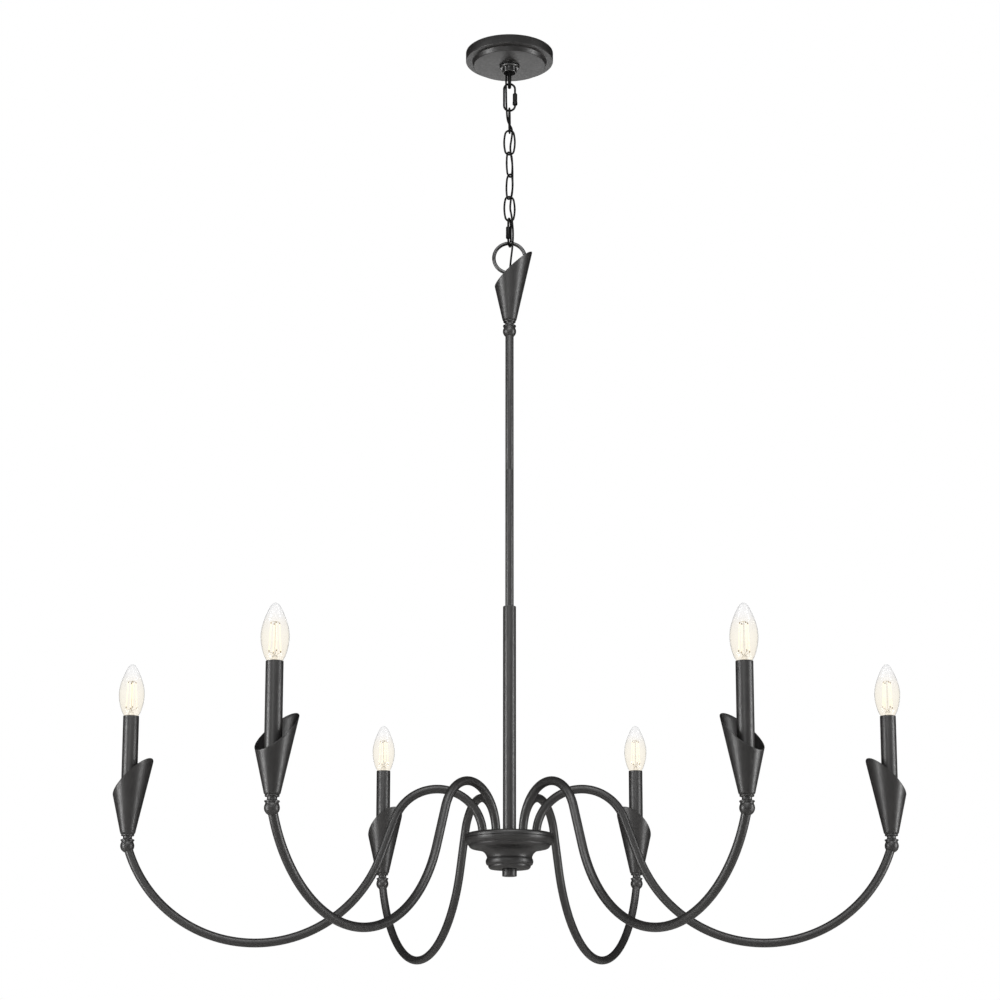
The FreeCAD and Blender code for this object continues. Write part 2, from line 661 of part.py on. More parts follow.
def stem_rods():
    rods = []
    for bottom, top in ((ROD_JOINT_Z, TOP_BALL_Z), (PIPE_TOP_Z, ROD_JOINT_Z)):
        rods.append(
            turned_polygon(
                (ROD_BORE_RADIUS, bottom),
                (ROD_RADIUS - ROD_END_BEVEL, bottom),
                (ROD_RADIUS, bottom + ROD_END_BEVEL),
                (ROD_RADIUS, top - ROD_END_BEVEL),
                (ROD_RADIUS - ROD_END_BEVEL, top),
                (ROD_BORE_RADIUS, top),
            )
        )
    return Part.makeCompound(rods)


def stem_pipe():
    r = PIPE_RADIUS
    shoulder = PIPE_END_ROUND
    return turned(
        [(TIE_ROD_RADIUS, HUB_Z), (r, HUB_Z)],
        [(r, HUB_Z), (r, PIPE_TOP_Z - shoulder)],
        [
            (r, PIPE_TOP_Z - shoulder),
            (r - shoulder * ARC_INSET, PIPE_TOP_Z - shoulder * ARC_INSET),
            (r - shoulder, PIPE_TOP_Z),
        ],
        [(r - shoulder, PIPE_TOP_Z), (ROD_BORE_RADIUS, PIPE_TOP_Z)],
        [(ROD_BORE_RADIUS, PIPE_TOP_Z), (ROD_BORE_RADIUS, PIPE_TOP_Z - PIPE_END_WALL)],
        [(ROD_BORE_RADIUS, PIPE_TOP_Z - PIPE_END_WALL), (PIPE_BORE_RADIUS, PIPE_TOP_Z - PIPE_END_WALL)],
        [(PIPE_BORE_RADIUS, PIPE_TOP_Z - PIPE_END_WALL), (PIPE_BORE_RADIUS, HUB_Z + PIPE_END_WALL)],
        [(PIPE_BORE_RADIUS, HUB_Z + PIPE_END_WALL), (TIE_ROD_RADIUS, HUB_Z + PIPE_END_WALL)],
        [(TIE_ROD_RADIUS, HUB_Z + PIPE_END_WALL), (TIE_ROD_RADIUS, HUB_Z)],
    )


# ---- hub ----------------------------------------------------------------------------------------


def arm_root(arm):
    angle = math.radians(arm["root"])
    return ARM_CIRCLE_RADIUS * math.cos(angle), ARM_CIRCLE_RADIUS * math.sin(angle)


def hub_plate():
    bottom = HUB_Z - HUB_PLATE_THICKNESS
    round_radius = min(HUB_PLATE_EDGE_ROUND, HUB_PLATE_THICKNESS * ROUND_LIMIT)
    inset = HUB_RADIUS - round_radius * ARC_INSET
    bevel = HUB_PLATE_LOWER_BEVEL
    plate = turned(
        [(TIE_ROD_RADIUS, bottom), (HUB_RADIUS - bevel, bottom)],
        [(HUB_RADIUS - bevel, bottom), (HUB_RADIUS, bottom + bevel)],
        [(HUB_RADIUS, bottom + bevel), (HUB_RADIUS, HUB_Z - round_radius)],
        [
            (HUB_RADIUS, HUB_Z - round_radius),
            (inset, HUB_Z - round_radius * ARC_INSET),
            (HUB_RADIUS - round_radius, HUB_Z),
        ],
        [(HUB_RADIUS - round_radius, HUB_Z), (TIE_ROD_RADIUS, HUB_Z)],
        [(TIE_ROD_RADIUS, HUB_Z), (TIE_ROD_RADIUS, bottom)],
    )
    for arm in ARMS.values():
        x, y = arm_root(arm)
        hole = ARM_TUBE_RADIUS + RUNNING_CLEARANCE
        plate = plate.cut(cylinder(hole, bottom - 1, HUB_Z + 1, x, y))
    return plate


def hub_bowl():
    """Cover under the hub plate: rim, step, cove and bead above a flat floor."""
    wall = BOWL_WALL
    hole = TIE_ROD_RADIUS + SLIDING_CLEARANCE
    neck = BOWL_NECK_RADIUS
    top = HUB_Z - HUB_PLATE_THICKNESS - HUB_SEAM_GAP
    lip = (HUB_RADIUS - BOWL_LIP_BEVEL, top)
    lip_foot = (HUB_RADIUS, top - BOWL_LIP_BEVEL)
    rim_foot = (HUB_RADIUS - BOWL_RIM_TAPER, top - BOWL_RIM_DEPTH)
    ledge = (BOWL_STEP_RADIUS + BOWL_STEP_LEDGE, rim_foot[1])
    step = (BOWL_STEP_RADIUS, rim_foot[1] - BOWL_STEP_SIDE)
    step_foot = (BOWL_STEP_RADIUS - BOWL_STEP_ROUND, rim_foot[1] - BOWL_STEP_DEPTH)
    cove = (BOWL_COVE_RADIUS, step_foot[1] - BOWL_COVE_LIFT)
    cove_foot = (neck, cove[1] - BOWL_COVE_DEPTH)
    bead_foot = (neck, cove_foot[1] - BOWL_BEAD_HEIGHT)
    base = (BOWL_BASE_RADIUS, bead_foot[1] - BOWL_BEAD_LEDGE)
    floor = (BOWL_FLOOR_RADIUS, HUB_Z - BOWL_DEPTH)
    inside = [
        (hole, floor[1]),
        (hole, floor[1] + wall),
        (floor[0] - wall / 2, floor[1] + wall),
        (neck - wall, bead_foot[1]),
        (neck - wall, cove_foot[1]),
        (cove[0] - wall, cove[1] + wall),
        (step[0] - 2 * wall, step_foot[1] + wall),
        (step[0] - wall / 2, rim_foot[1] + wall / 2),
        (lip[0] - wall, top),
        lip,
    ]
    return turned(
        [lip, lip_foot],
        bulged(lip_foot, rim_foot, BOWL_RIM_BULGE),
        [rim_foot, ledge],
        [ledge, step],
        bulged(step, step_foot, BOWL_STEP_BULGE),
        [step_foot, cove],
        bulged(cove, cove_foot, -BOWL_COVE_HOLLOW),
        bulged(cove_foot, bead_foot, BOWL_BEAD_RADIUS - neck),
        [bead_foot, base],
        bulged(base, floor, BOWL_BASE_BULGE),
        [floor, inside[0]],
        *[list(run) for run in zip(inside, inside[1:])],
    )


def finial():
    top = HUB_Z - BOWL_DEPTH
    bottom = top - FINIAL_HEIGHT
    bore = TIE_ROD_RADIUS + RUNNING_CLEARANCE
    return turned(
        [(bore, top), (FINIAL_RADIUS, top)],
        [(FINIAL_RADIUS, top), (FINIAL_RADIUS, bottom + FINIAL_ROUND)],
        [
            (FINIAL_RADIUS, bottom + FINIAL_ROUND),
            (FINIAL_RADIUS - FINIAL_ROUND * ARC_INSET, bottom + FINIAL_ROUND * ARC_INSET),
            (FINIAL_RADIUS - FINIAL_ROUND, bottom),
        ],
        [(FINIAL_RADIUS - FINIAL_ROUND, bottom), (0, bottom)],
        [(0, bottom), (0, bottom + FINIAL_HEAD)],
        [(0, bottom + FINIAL_HEAD), (bore, bottom + FINIAL_HEAD)],
        [(bore, bottom + FINIAL_HEAD), (bore, top)],
    )


def hex_nut(x, y, bore):
    """Nut seated against the underside of the hub plate."""
    top = HUB_Z - HUB_PLATE_THICKNESS
    corner = bore + LOCK_NUT_WIDTH
    corners = [
        vec(
            x + corner * math.cos(math.radians(60 * i)),
            y + corner * math.sin(math.radians(60 * i)),
            top - LOCK_NUT_HEIGHT,
        )
        for i in range(7)
    ]
    nut = Part.Face(Part.makePolygon(corners)).extrude(vec(0, 0, LOCK_NUT_HEIGHT))
    return nut.cut(cylinder(bore, top - LOCK_NUT_HEIGHT - 1, top + 1, x, y))


def threaded_fasteners():
    """The nipples that join the stem, the tie rod that holds the bowl, and the nuts on the plate."""
    pieces = []
    for joint, below in ((ROD_JOINT_Z, STEM_NIPPLE_REACH), (PIPE_TOP_Z, PIPE_END_WALL)):
        top = joint + STEM_NIPPLE_REACH
        pieces.append(tube(ROD_BORE_RADIUS, STEM_NIPPLE_BORE_RADIUS, joint - below, top))
    tie_bottom = HUB_Z - BOWL_DEPTH - FINIAL_HEIGHT + FINIAL_HEAD + TIE_ROD_TIP_GAP
    pieces.append(cylinder(TIE_ROD_RADIUS, tie_bottom, HUB_Z + PIPE_END_WALL))
    pieces.append(hex_nut(0, 0, TIE_ROD_RADIUS))
    for arm in ARMS.values():
        x, y = arm_root(arm)
        pieces.append(hex_nut(x, y, ARM_TUBE_RADIUS + RUNNING_CLEARANCE))
    return Part.makeCompound(pieces)


# ---- arms ---------------------------------------------------------------------------------------


def arm_path():
    """Centre line in the XZ plane from the arm's foot at x = 0: up, over the hump, down a straight
    that touches both arcs, round the big sweep and up into the coupler's ball."""
    lean = math.radians(ARM_END_LEAN)
    ball = (ARM_REACH, CUP_BASE_Z - COUPLER_BALL_DROP)
    sweep_end = (ball[0] - ARM_END_STRAIGHT * math.sin(lean), ball[1] - ARM_END_STRAIGHT * math.cos(lean))
    sweep = (
        sweep_end[0] - ARM_SWEEP_RADIUS * math.cos(lean),
        sweep_end[1] + ARM_SWEEP_RADIUS * math.sin(lean),
    )
    hump = (ARM_HUMP_RADIUS, HUB_Z - ARM_HUMP_DROP)
    apart = math.hypot(sweep[0] - hump[0], sweep[1] - hump[1])
    towards = math.atan2(sweep[1] - hump[1], sweep[0] - hump[0])
    normal = towards + math.acos((ARM_HUMP_RADIUS + ARM_SWEEP_RADIUS) / apart)

    def on_hump(angle):
        return (
            hump[0] + ARM_HUMP_RADIUS * math.cos(angle),
            0,
            hump[1] + ARM_HUMP_RADIUS * math.sin(angle),
        )

    def on_sweep(angle):
        return (
            sweep[0] + ARM_SWEEP_RADIUS * math.cos(angle),
            0,
            sweep[1] + ARM_SWEEP_RADIUS * math.sin(angle),
        )

    touch = normal + math.pi
    return [
        line((0, 0, ARM_FOOT_Z), on_hump(math.pi)),
        arc(on_hump(math.pi), on_hump((math.pi + normal) / 2), on_hump(normal)),
        line(on_hump(normal), on_sweep(touch)),
        arc(on_sweep(touch), on_sweep((touch + 2 * math.pi - lean) / 2), on_sweep(-lean)),
        line(on_sweep(-lean), (ball[0], 0, ball[1])),
    ]


def arm_tube():
    """Bent tube with a lip at its foot, below the lock nut that it swivels in."""
    tube_solid = round_bar(arm_path(), ARM_TUBE_RADIUS, ARM_TUBE_BORE_RADIUS)
    lip = tube(ARM_LIP_RADIUS, ARM_TUBE_BORE_RADIUS, ARM_FOOT_Z, ARM_FOOT_Z + ARM_LIP_HEIGHT)
    return tube_solid.fuse(lip).removeSplitter()


def arm_coupler():
    """Coupler at the arm's end, with a leaning socket in its ball that the tube's end fills."""
    turned_part = placed(coupler(), 0, x=ARM_REACH, z=CUP_BASE_Z)
    ball = vec(ARM_REACH, 0, CUP_BASE_Z - COUPLER_BALL_DROP)
    lean = math.radians(ARM_END_LEAN)
    down = vec(-math.sin(lean), 0, -math.cos(lean))
    return turned_part.cut(Part.makeCylinder(ARM_TUBE_RADIUS, 2 * COUPLER_BALL_RADIUS, ball, down))


def top_coupler():
    turned_part = placed(coupler(), 0, z=TOP_CUP_BASE_Z)
    return turned_part.cut(cylinder(ROD_RADIUS, TOP_BALL_Z - 2 * COUPLER_BALL_RADIUS, TOP_BALL_Z))


# ---- candles ------------------------------------------------------------------------------------


def cover_seat():
    """Height in the cup where the flaring wall is as wide as the candle cover and its clearance."""
    slant = math.sqrt(1 + CUP_FLARE**2)
    inner_heel = CUP_HEEL_RADIUS - CUP_WALL * slant
    return CUP_HEEL_HEIGHT + (COVER_RADIUS + COVER_CLEARANCE - inner_heel) / CUP_FLARE


def candle_cover():
    return placed(tube(COVER_RADIUS, COVER_RADIUS - COVER_WALL, cover_seat(), COVER_TOP), 0, z=CUP_BASE_Z)


def socket():
    """Lamp socket on its post, standing on the cup's floor inside the candle cover."""
    top = COVER_TOP - SOCKET_BELOW_COVER_TOP
    bottom = top - SOCKET_LENGTH
    bore = BULB_BASE_RADIUS + SLIDING_CLEARANCE
    radius = min(SOCKET_RADIUS, COVER_RADIUS - COVER_WALL - COVER_CLEARANCE)
    return turned_polygon(
        (0, CUP_FLOOR),
        (SOCKET_POST_RADIUS, CUP_FLOOR),
        (SOCKET_POST_RADIUS, bottom),
        (radius - SOCKET_BEVEL, bottom),
        (radius, bottom + SOCKET_BEVEL),
        (radius, top),
        (bore, top),
        (bore, top - SOCKET_BORE_DEPTH),
        (0, top - SOCKET_BORE_DEPTH),
    )


def bulb_outline(inset):
    """Stretches of the bulb's glass from its neck to its tip, moved inwards by inset."""
    neck = COVER_TOP - SOCKET_BELOW_COVER_TOP + LINK_CLEARANCE
    mouth = COVER_TOP
    belly = COVER_TOP + BULB_BELLY_HEIGHT
    shoulder = COVER_TOP + BULB_SHOULDER_HEIGHT
    tip = COVER_TOP + BULB_TIP_HEIGHT - inset
    mouth_r = BULB_MOUTH_RADIUS - inset
    belly_r = BULB_RADIUS - inset
    shoulder_r = BULB_SHOULDER_RADIUS - inset
    return [
        [(BULB_NECK_RADIUS - inset, neck), (mouth_r, mouth)],
        [
            (mouth_r, mouth),
            (
                mouth_r + (belly_r - mouth_r) * BULB_BELLY_BEND[0],
                mouth + BULB_BELLY_HEIGHT * BULB_BELLY_BEND[1],
            ),
            (belly_r, belly),
        ],
        [
            (belly_r, belly),
            (
                shoulder_r + (belly_r - shoulder_r) * BULB_SHOULDER_BEND,
                (belly + shoulder) / 2 + BULB_SHOULDER_BEND_LIFT,
            ),
            (shoulder_r, shoulder),
        ],
        [
            (shoulder_r, shoulder),
            (shoulder_r * BULB_TIP_BEND[0], shoulder + (tip - shoulder) * BULB_TIP_BEND[1]),
            (BULB_TIP_RADIUS, tip),
        ],
        [(BULB_TIP_RADIUS, tip), (0, tip)],
    ]


def bulb():
    """Candle bulb: a glass envelope and the screw base that is cemented to it."""
    outside = bulb_outline(0.0)
    inside = bulb_outline(BULB_GLASS)
    neck_z = outside[0][0][1]
    tip = [(0, outside[-1][-1][1]), (0, inside[-1][-1][1])]
    inward = [list(reversed(stretch)) for stretch in reversed(inside)]
    foot = [inward[-1][-1], outside[0][0]]
    glass = turned(*outside, tip, *inward, foot)
    base_bottom = neck_z - BULB_BASE_LENGTH
    base = turned_polygon(
        (0, base_bottom),
        (BULB_CONTACT_RADIUS, base_bottom),
        (BULB_BASE_RADIUS, base_bottom + BULB_CONTACT_HEIGHT),
        (BULB_BASE_RADIUS, neck_z),
        (0, neck_z),
    )
    return Part.makeCompound([glass, base])


# ---- lead cord ----------------------------------------------------------------------------------

# The cord leaves the canopy through the nipple and the wire hole beside the eye, runs down the left
# leg of the upper quick link, weaves once through the chain, passes in front of the ring and goes
# through the stud's slanted wire hole into the stem, where it runs down to the hub.
CORD_HOLE_RADIUS = CORD_RADIUS + CORD_HOLE_CLEARANCE
CORD_EXIT = (-4.8, 0.0)
CORD_POINTS = [
    (0.0, 0.0, -3.0),
    (0.0, 0.0, -17.0),
    (-4.8, 0.0, -25.0),
    (-4.8, 0.0, -37.0),
    (-5.0, -3.6, -45.0),
    (-5.0, -3.7, -54.0),
    (-4.8, -0.6, -64.0),
    (-4.7, -0.4, -74.0),
    (-4.5, -3.5, -84.0),
    (-3.9, -3.5, -93.0),
    (-3.3, -1.2, -103.0),
    (-0.6, -0.8, -110.5),
    (3.6, -3.3, -118.0),
    (3.9, -3.5, -127.0),
    (2.4, -1.6, -137.0),
    (0.9, -3.5, -147.0),
    (1.9, -4.1, -158.0),
    (3.9, -2.5, -170.0),
    (4.5, -0.6, -182.0),
    (4.4, 0.1, -194.0),
    (4.8, 1.2, -206.0),
    (2.8, 4.2, -218.0),
    (1.4, 4.1, -229.0),
    (0.8, 0.4, -240.0),
    (2.8, -3.2, -250.0),
    (4.0, -3.2, -261.0),
    (5.2, -2.2, -275.0),
    (5.0, -5.0, -289.0),
    (3.9, -5.2, -303.0),
    (1.6, -6.2, -322.0),
    (0.3, -8.0, -340.0),
    (0.2, -8.4, -360.0),
    (0.0, -7.2, -378.0),
    (0.0, 0.0, -396.0),
]
CORD_INLET = (CORD_POINTS[-2], CORD_POINTS[-1])


def lead_cord():
    """Cord and the total of its straight runs and arcs."""
    end = (0.0, 0.0, HUB_Z + PIPE_END_WALL + CORD_END_HEIGHT)
    edges, radii = rounded_path(CORD_POINTS + [end])
    print("cord radii:", " ".join(f"{radius:.0f}" for radius in radii))
    print("cord length:", round(sum(edge.Length for edge in edges), 1))
    return round_bar(edges, CORD_RADIUS)


# ---- assembly -----------------------------------------------------------------------------------

parts["crossbar"] = crossbar()
parts["canopy_loop"] = canopy_loop()
parts["canopy"] = canopy()
parts["canopy_collar"] = canopy_collar()
for name, azimuth, top in (
    ("upper", UPPER_QUICK_LINK_AZIMUTH, UPPER_QUICK_LINK_TOP),
    ("lower", LOWER_QUICK_LINK_AZIMUTH, LOWER_QUICK_LINK_TOP),
):
    parts[f"quick_link_{name}"] = placed(quick_link(), azimuth, z=top)
    parts[f"quick_link_sleeve_{name}"] = placed(sleeve_nut(), azimuth, z=top)
for number, (azimuth, top) in enumerate(zip(LINK_AZIMUTHS, LINK_TOPS), start=1):
    parts[f"chain_link_{number}"] = placed(chain_link(), azimuth, z=top)
parts["hanging_ring"] = hanging_ring()
parts["lead_cord"] = lead_cord()
parts["top_stud"] = top_stud()
parts["top_cup"] = placed(cup(), 0, z=TOP_CUP_BASE_Z)
parts["top_coupler"] = top_coupler()
parts["stem_rods"] = stem_rods()
parts["stem_pipe"] = stem_pipe()
parts["hub_plate"] = hub_plate()
parts["threaded_fasteners"] = threaded_fasteners()
parts["hub_bowl"] = hub_bowl()
parts["finial"] = finial()

arm_tube_shape = arm_tube()
arm_coupler_shape = arm_coupler()
cup_shape = cup()
candle_cover_shape = candle_cover()
socket_shape = placed(socket(), 0, z=CUP_BASE_Z)
bulb_shape = placed(bulb(), 0, z=CUP_BASE_Z)
for name, arm in ARMS.items():
    root_x, root_y = arm_root(arm)
    heading = math.radians(arm["azimuth"])
    candle_x = root_x + ARM_REACH * math.cos(heading)
    candle_y = root_y + ARM_REACH * math.sin(heading)
    parts[f"arm_{name}"] = placed(arm_tube_shape, arm["azimuth"], root_x, root_y)
    parts[f"coupler_{name}"] = placed(arm_coupler_shape, arm["azimuth"], root_x, root_y)
    parts[f"cup_{name}"] = placed(cup_shape, arm["tip"], candle_x, candle_y, CUP_BASE_Z)
    parts[f"socket_{name}"] = placed(socket_shape, 0, candle_x, candle_y)
    parts[f"candle_cover_{name}"] = placed(candle_cover_shape, 0, candle_x, candle_y)
    parts[f"bulb_{name}"] = placed(bulb_shape, 0, candle_x, candle_y)

print("hub plane z:", round(HUB_Z, 2), " ring z:", round(RING_Z, 2), " parts:", len(parts))
os.makedirs("parts", exist_ok=True)
for name, shape in parts.items():
    if not shape.isValid():
        print("not valid:", name)
    shape.exportStep(f"parts/{name}.step")
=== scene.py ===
import math

import bmesh
import bpy
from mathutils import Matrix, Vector


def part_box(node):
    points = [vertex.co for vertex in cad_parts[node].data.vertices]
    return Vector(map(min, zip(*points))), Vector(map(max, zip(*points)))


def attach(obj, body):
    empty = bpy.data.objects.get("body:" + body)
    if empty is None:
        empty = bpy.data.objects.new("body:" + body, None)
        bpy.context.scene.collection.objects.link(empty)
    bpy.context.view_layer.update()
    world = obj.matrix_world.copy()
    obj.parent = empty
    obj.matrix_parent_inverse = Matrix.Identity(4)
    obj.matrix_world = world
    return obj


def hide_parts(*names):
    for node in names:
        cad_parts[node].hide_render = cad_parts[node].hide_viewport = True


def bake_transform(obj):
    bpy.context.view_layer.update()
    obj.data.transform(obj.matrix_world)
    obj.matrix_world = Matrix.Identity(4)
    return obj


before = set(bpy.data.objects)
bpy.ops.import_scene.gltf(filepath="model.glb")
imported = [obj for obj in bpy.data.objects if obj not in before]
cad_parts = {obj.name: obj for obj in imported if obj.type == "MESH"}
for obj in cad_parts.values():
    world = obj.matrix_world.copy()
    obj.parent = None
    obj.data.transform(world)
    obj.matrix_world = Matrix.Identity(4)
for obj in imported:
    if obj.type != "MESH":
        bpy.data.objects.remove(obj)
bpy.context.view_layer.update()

# Six-arm candle chandelier. Sizes are given in millimetres and turned into metres as each mesh is
# made. Z points up, the ceiling plane is z = 0 and the viewer stands on the -Y side.

MM = 0.001
TURNS = 128
FLAT_ANGLE = math.radians(32)

BAND_RADIUS = 63.5
BAND_HEIGHT = 13.5
CANOPY_HEIGHT = 20.0
CANOPY_WALL = 1.3
COLLAR_RADIUS = 14.45
COLLAR_BARREL_RADIUS = 10.6
COLLAR_BORE_RADIUS = 9.1
COLLAR_HEIGHT = 11.0
LINK_LENGTH = 39.75
LINK_WIDTH = 18.3
LINK_WIRE_RADIUS = 1.4
LINK_AZIMUTHS = (86.0, 176.0, 238.0, 305.0, 375.0)
QUICK_LINK_LENGTH = 44.5
QUICK_LINK_WIRE_RADIUS = 1.5
QUICK_LINK_BEND = 8.0
RING_RADIUS = 22.4
RING_WIRE_RADIUS = 2.6
ROD_RADIUS = 5.9
ROD_LENGTH = 197.0
PIPE_RADIUS = 9.1
HUB_RADIUS = 61.4
HUB_PLATE_HEIGHT = 6.5
FINIAL_RADIUS = 10.0
FINIAL_HEIGHT = 9.95
FINIAL_BORE_RADIUS = 4.05
ARM_ROOT_DISTANCE = 36.7
ARM_TUBE_RADIUS = 6.0
ARM_LIP_RADIUS = 7.2
ARM_LIP_HEIGHT = 1.5
ARM_FOOT_DEPTH = 12.3
COVER_RADIUS = 10.8
COVER_BORE_RADIUS = 9.8
GLASS_HEIGHT = 72.0

ARMS = {
    "right": {"root": 0.0, "tip": 198.0},
    "back_right": {"root": 60.0, "tip": 230.0},
    "back_left": {"root": 120.0, "tip": -50.0},
    "left": {"root": 180.0, "tip": -18.0},
    "front_left": {"root": 240.0, "tip": 46.0},
    "front_right": {"root": 300.0, "tip": 134.0},
}


def low(node):
    """Lowest height of a CAD node, in millimetres."""
    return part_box(node)[0].z / MM


def high(node):
    """Highest height of a CAD node, in millimetres."""
    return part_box(node)[1].z / MM


def middle(node):
    """Centre of a CAD node's box, in millimetres."""
    lowest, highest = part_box(node)
    return (lowest + highest) / 2 / MM


# ---- finishes -----------------------------------------------------------------------------------


def finish_base(name):
    """New material with its tree, its shader and a texture coordinate node."""
    material = bpy.data.materials.new(name)
    material.use_nodes = True
    tree = material.node_tree
    return material, tree, tree.nodes["Principled BSDF"], tree.nodes.new("ShaderNodeTexCoord")


def grain(tree, coordinates, scale, detail=2.0, roughness=0.5):
    """Noise on object coordinates. Scale is in cells per metre."""
    noise = tree.nodes.new("ShaderNodeTexNoise")
    noise.inputs["Scale"].default_value = scale
    noise.inputs["Detail"].default_value = detail
    noise.inputs["Roughness"].default_value = roughness
    tree.links.new(coordinates.outputs["Object"], noise.inputs["Vector"])
    return noise.outputs["Fac"]


def ramp(tree, factor, stops):
    """Colour ramp over (position, colour) stops."""
    node = tree.nodes.new("ShaderNodeValToRGB")
    elements = node.color_ramp.elements
    elements[0].position, elements[0].color = stops[0][0], (*stops[0][1], 1)
    elements[1].position, elements[1].color = stops[-1][0], (*stops[-1][1], 1)
    for position, colour in stops[1:-1]:
        elements.new(position).color = (*colour, 1)
    tree.links.new(factor, node.inputs["Fac"])
    return node.outputs["Color"]


def spread(tree, factor, lowest, highest):
    """Stretches a 0.3 to 0.7 noise over a range of values."""
    node = tree.nodes.new("ShaderNodeMapRange")
    node.inputs["From Min"].default_value = 0.3
    node.inputs["From Max"].default_value = 0.7
    node.inputs["To Min"].default_value = lowest
    node.inputs["To Max"].default_value = highest
    tree.links.new(factor, node.inputs["Value"])
    return node.outputs["Result"]


def tint(tree, shader, factor, stops, socket="Base Color"):
    """Colours a shader's socket with a ramp."""
    tree.links.new(ramp(tree, factor, stops), shader.inputs[socket])


def bump(tree, shader, height, distance, strength=1.0):
    node = tree.nodes.new("ShaderNodeBump")
    node.inputs["Distance"].default_value = distance
    node.inputs["Strength"].default_value = strength
    tree.links.new(height, node.inputs["Height"])
    tree.links.new(node.outputs["Normal"], shader.inputs["Normal"])


def powder_coat(name, dark, light, roughness, gleam=0.5):
    """Baked powder coat: a fine orange peel with a faint unevenness of tone and gloss."""
    material, tree, shader, coordinates = finish_base(name)
    tone = grain(tree, coordinates, 45.0, 4.0, 0.62)
    tint(tree, shader, tone, [(0.3, dark), (0.7, light)])
    gloss = grain(tree, coordinates, 240.0, 3.0)
    tree.links.new(spread(tree, gloss, roughness - 0.05, roughness + 0.06), shader.inputs["Roughness"])
    bump(tree, shader, grain(tree, coordinates, 950.0, 2.0), 0.00008, 0.35)
    shader.inputs["Specular IOR Level"].default_value = gleam
    return material


def bright_steel(name, colour, roughness):
    """Plated steel with fine drawn streaks."""
    material, tree, shader, coordinates = finish_base(name)
    shader.inputs["Metallic"].default_value = 1.0
    mapping = tree.nodes.new("ShaderNodeMapping")
    mapping.inputs["Scale"].default_value = (1.0, 1.0, 0.08)
    tree.links.new(coordinates.outputs["Object"], mapping.inputs["Vector"])
    streaks = tree.nodes.new("ShaderNodeTexNoise")
    streaks.inputs["Scale"].default_value = 2200.0
    tree.links.new(mapping.outputs["Vector"], streaks.inputs["Vector"])
    darker = tuple(channel * 0.8 for channel in colour)
    tint(tree, shader, grain(tree, coordinates, 130.0, 3.0), [(0.32, darker), (0.68, colour)])
    tree.links.new(
        spread(tree, streaks.outputs["Fac"], roughness - 0.08, roughness + 0.1),
        shader.inputs["Roughness"],
    )
    bump(tree, shader, streaks.outputs["Fac"], 0.00003, 0.3)
    return material


def cord_jacket():
    """Soft plastic jacket of the lead, faintly ribbed by the twisted conductors inside."""
    material, tree, shader, coordinates = finish_base("lead_jacket")
    tone = grain(tree, coordinates, 160.0, 3.0)
    tint(tree, shader, tone, [(0.3, (0.002, 0.002, 0.002)), (0.7, (0.005, 0.005, 0.005))])
    tree.links.new(spread(tree, tone, 0.42, 0.55), shader.inputs["Roughness"])
    shader.inputs["Specular IOR Level"].default_value = 0.08
    bump(tree, shader, grain(tree, coordinates, 700.0, 2.0), 0.0001, 0.4)
    return material


def moulded_phenolic():
    """Dark moulded plastic of the lamp sockets."""
    material, tree, shader, coordinates = finish_base("socket_phenolic")
    tone = grain(tree, coordinates, 380.0, 4.0)
    tint(tree, shader, tone, [(0.3, (0.010, 0.009, 0.008)), (0.7, (0.024, 0.021, 0.019))])
    tree.links.new(spread(tree, tone, 0.3, 0.42), shader.inputs["Roughness"])
    bump(tree, shader, grain(tree, coordinates, 1500.0), 0.00004, 0.4)
    return material


def bulb_glass():
    """Clear blown glass with the warm glow of the lit filaments painted into its colour round the belly
    of the bulb.
    """
    material, tree, shader, coordinates = finish_base("clear_glass")
    shader.inputs["Transmission Weight"].default_value = 1.0
    shader.inputs["Roughness"].default_value = 0.0
    shader.inputs["IOR"].default_value = 1.47
    split = tree.nodes.new("ShaderNodeSeparateXYZ")
    tree.links.new(coordinates.outputs["Object"], split.inputs["Vector"])
    height = tree.nodes.new("ShaderNodeMapRange")
    height.inputs["From Min"].default_value = COVER_TOP_Z * MM
    height.inputs["From Max"].default_value = (COVER_TOP_Z + BULB_HEIGHT) * MM
    tree.links.new(split.outputs["Z"], height.inputs["Value"])
    # Painted glow: the base colour is warm from the neck over the belly and turns neutral near the tip,
    # in place of the filaments' light on the glass.
    tree.links.new(
        ramp(
            tree,
            height.outputs["Result"],
            [
                (0.0, (0.985, 0.952, 0.888)),
                (0.18, (0.993, 0.965, 0.908)),
                (0.45, (0.997, 0.973, 0.920)),
                (0.64, (0.993, 0.974, 0.940)),
                (0.80, (0.982, 0.978, 0.975)),
                (1.0, (0.962, 0.964, 0.968)),
            ],
        ),
        shader.inputs["Base Color"],
    )
    return material


def stem_glass():
    """Thicker pressed glass of the filament's stem, with a few seeds in it."""
    material, tree, shader, coordinates = finish_base("stem_glass")
    shader.inputs["Transmission Weight"].default_value = 1.0
    shader.inputs["Roughness"].default_value = 0.06
    shader.inputs["IOR"].default_value = 1.5
    tone = grain(tree, coordinates, 500.0, 1.0)
    tint(tree, shader, tone, [(0.3, (0.93, 0.90, 0.85)), (0.7, (0.99, 0.98, 0.95))])
    bump(tree, shader, tone, 0.0003, 0.25)
    return material


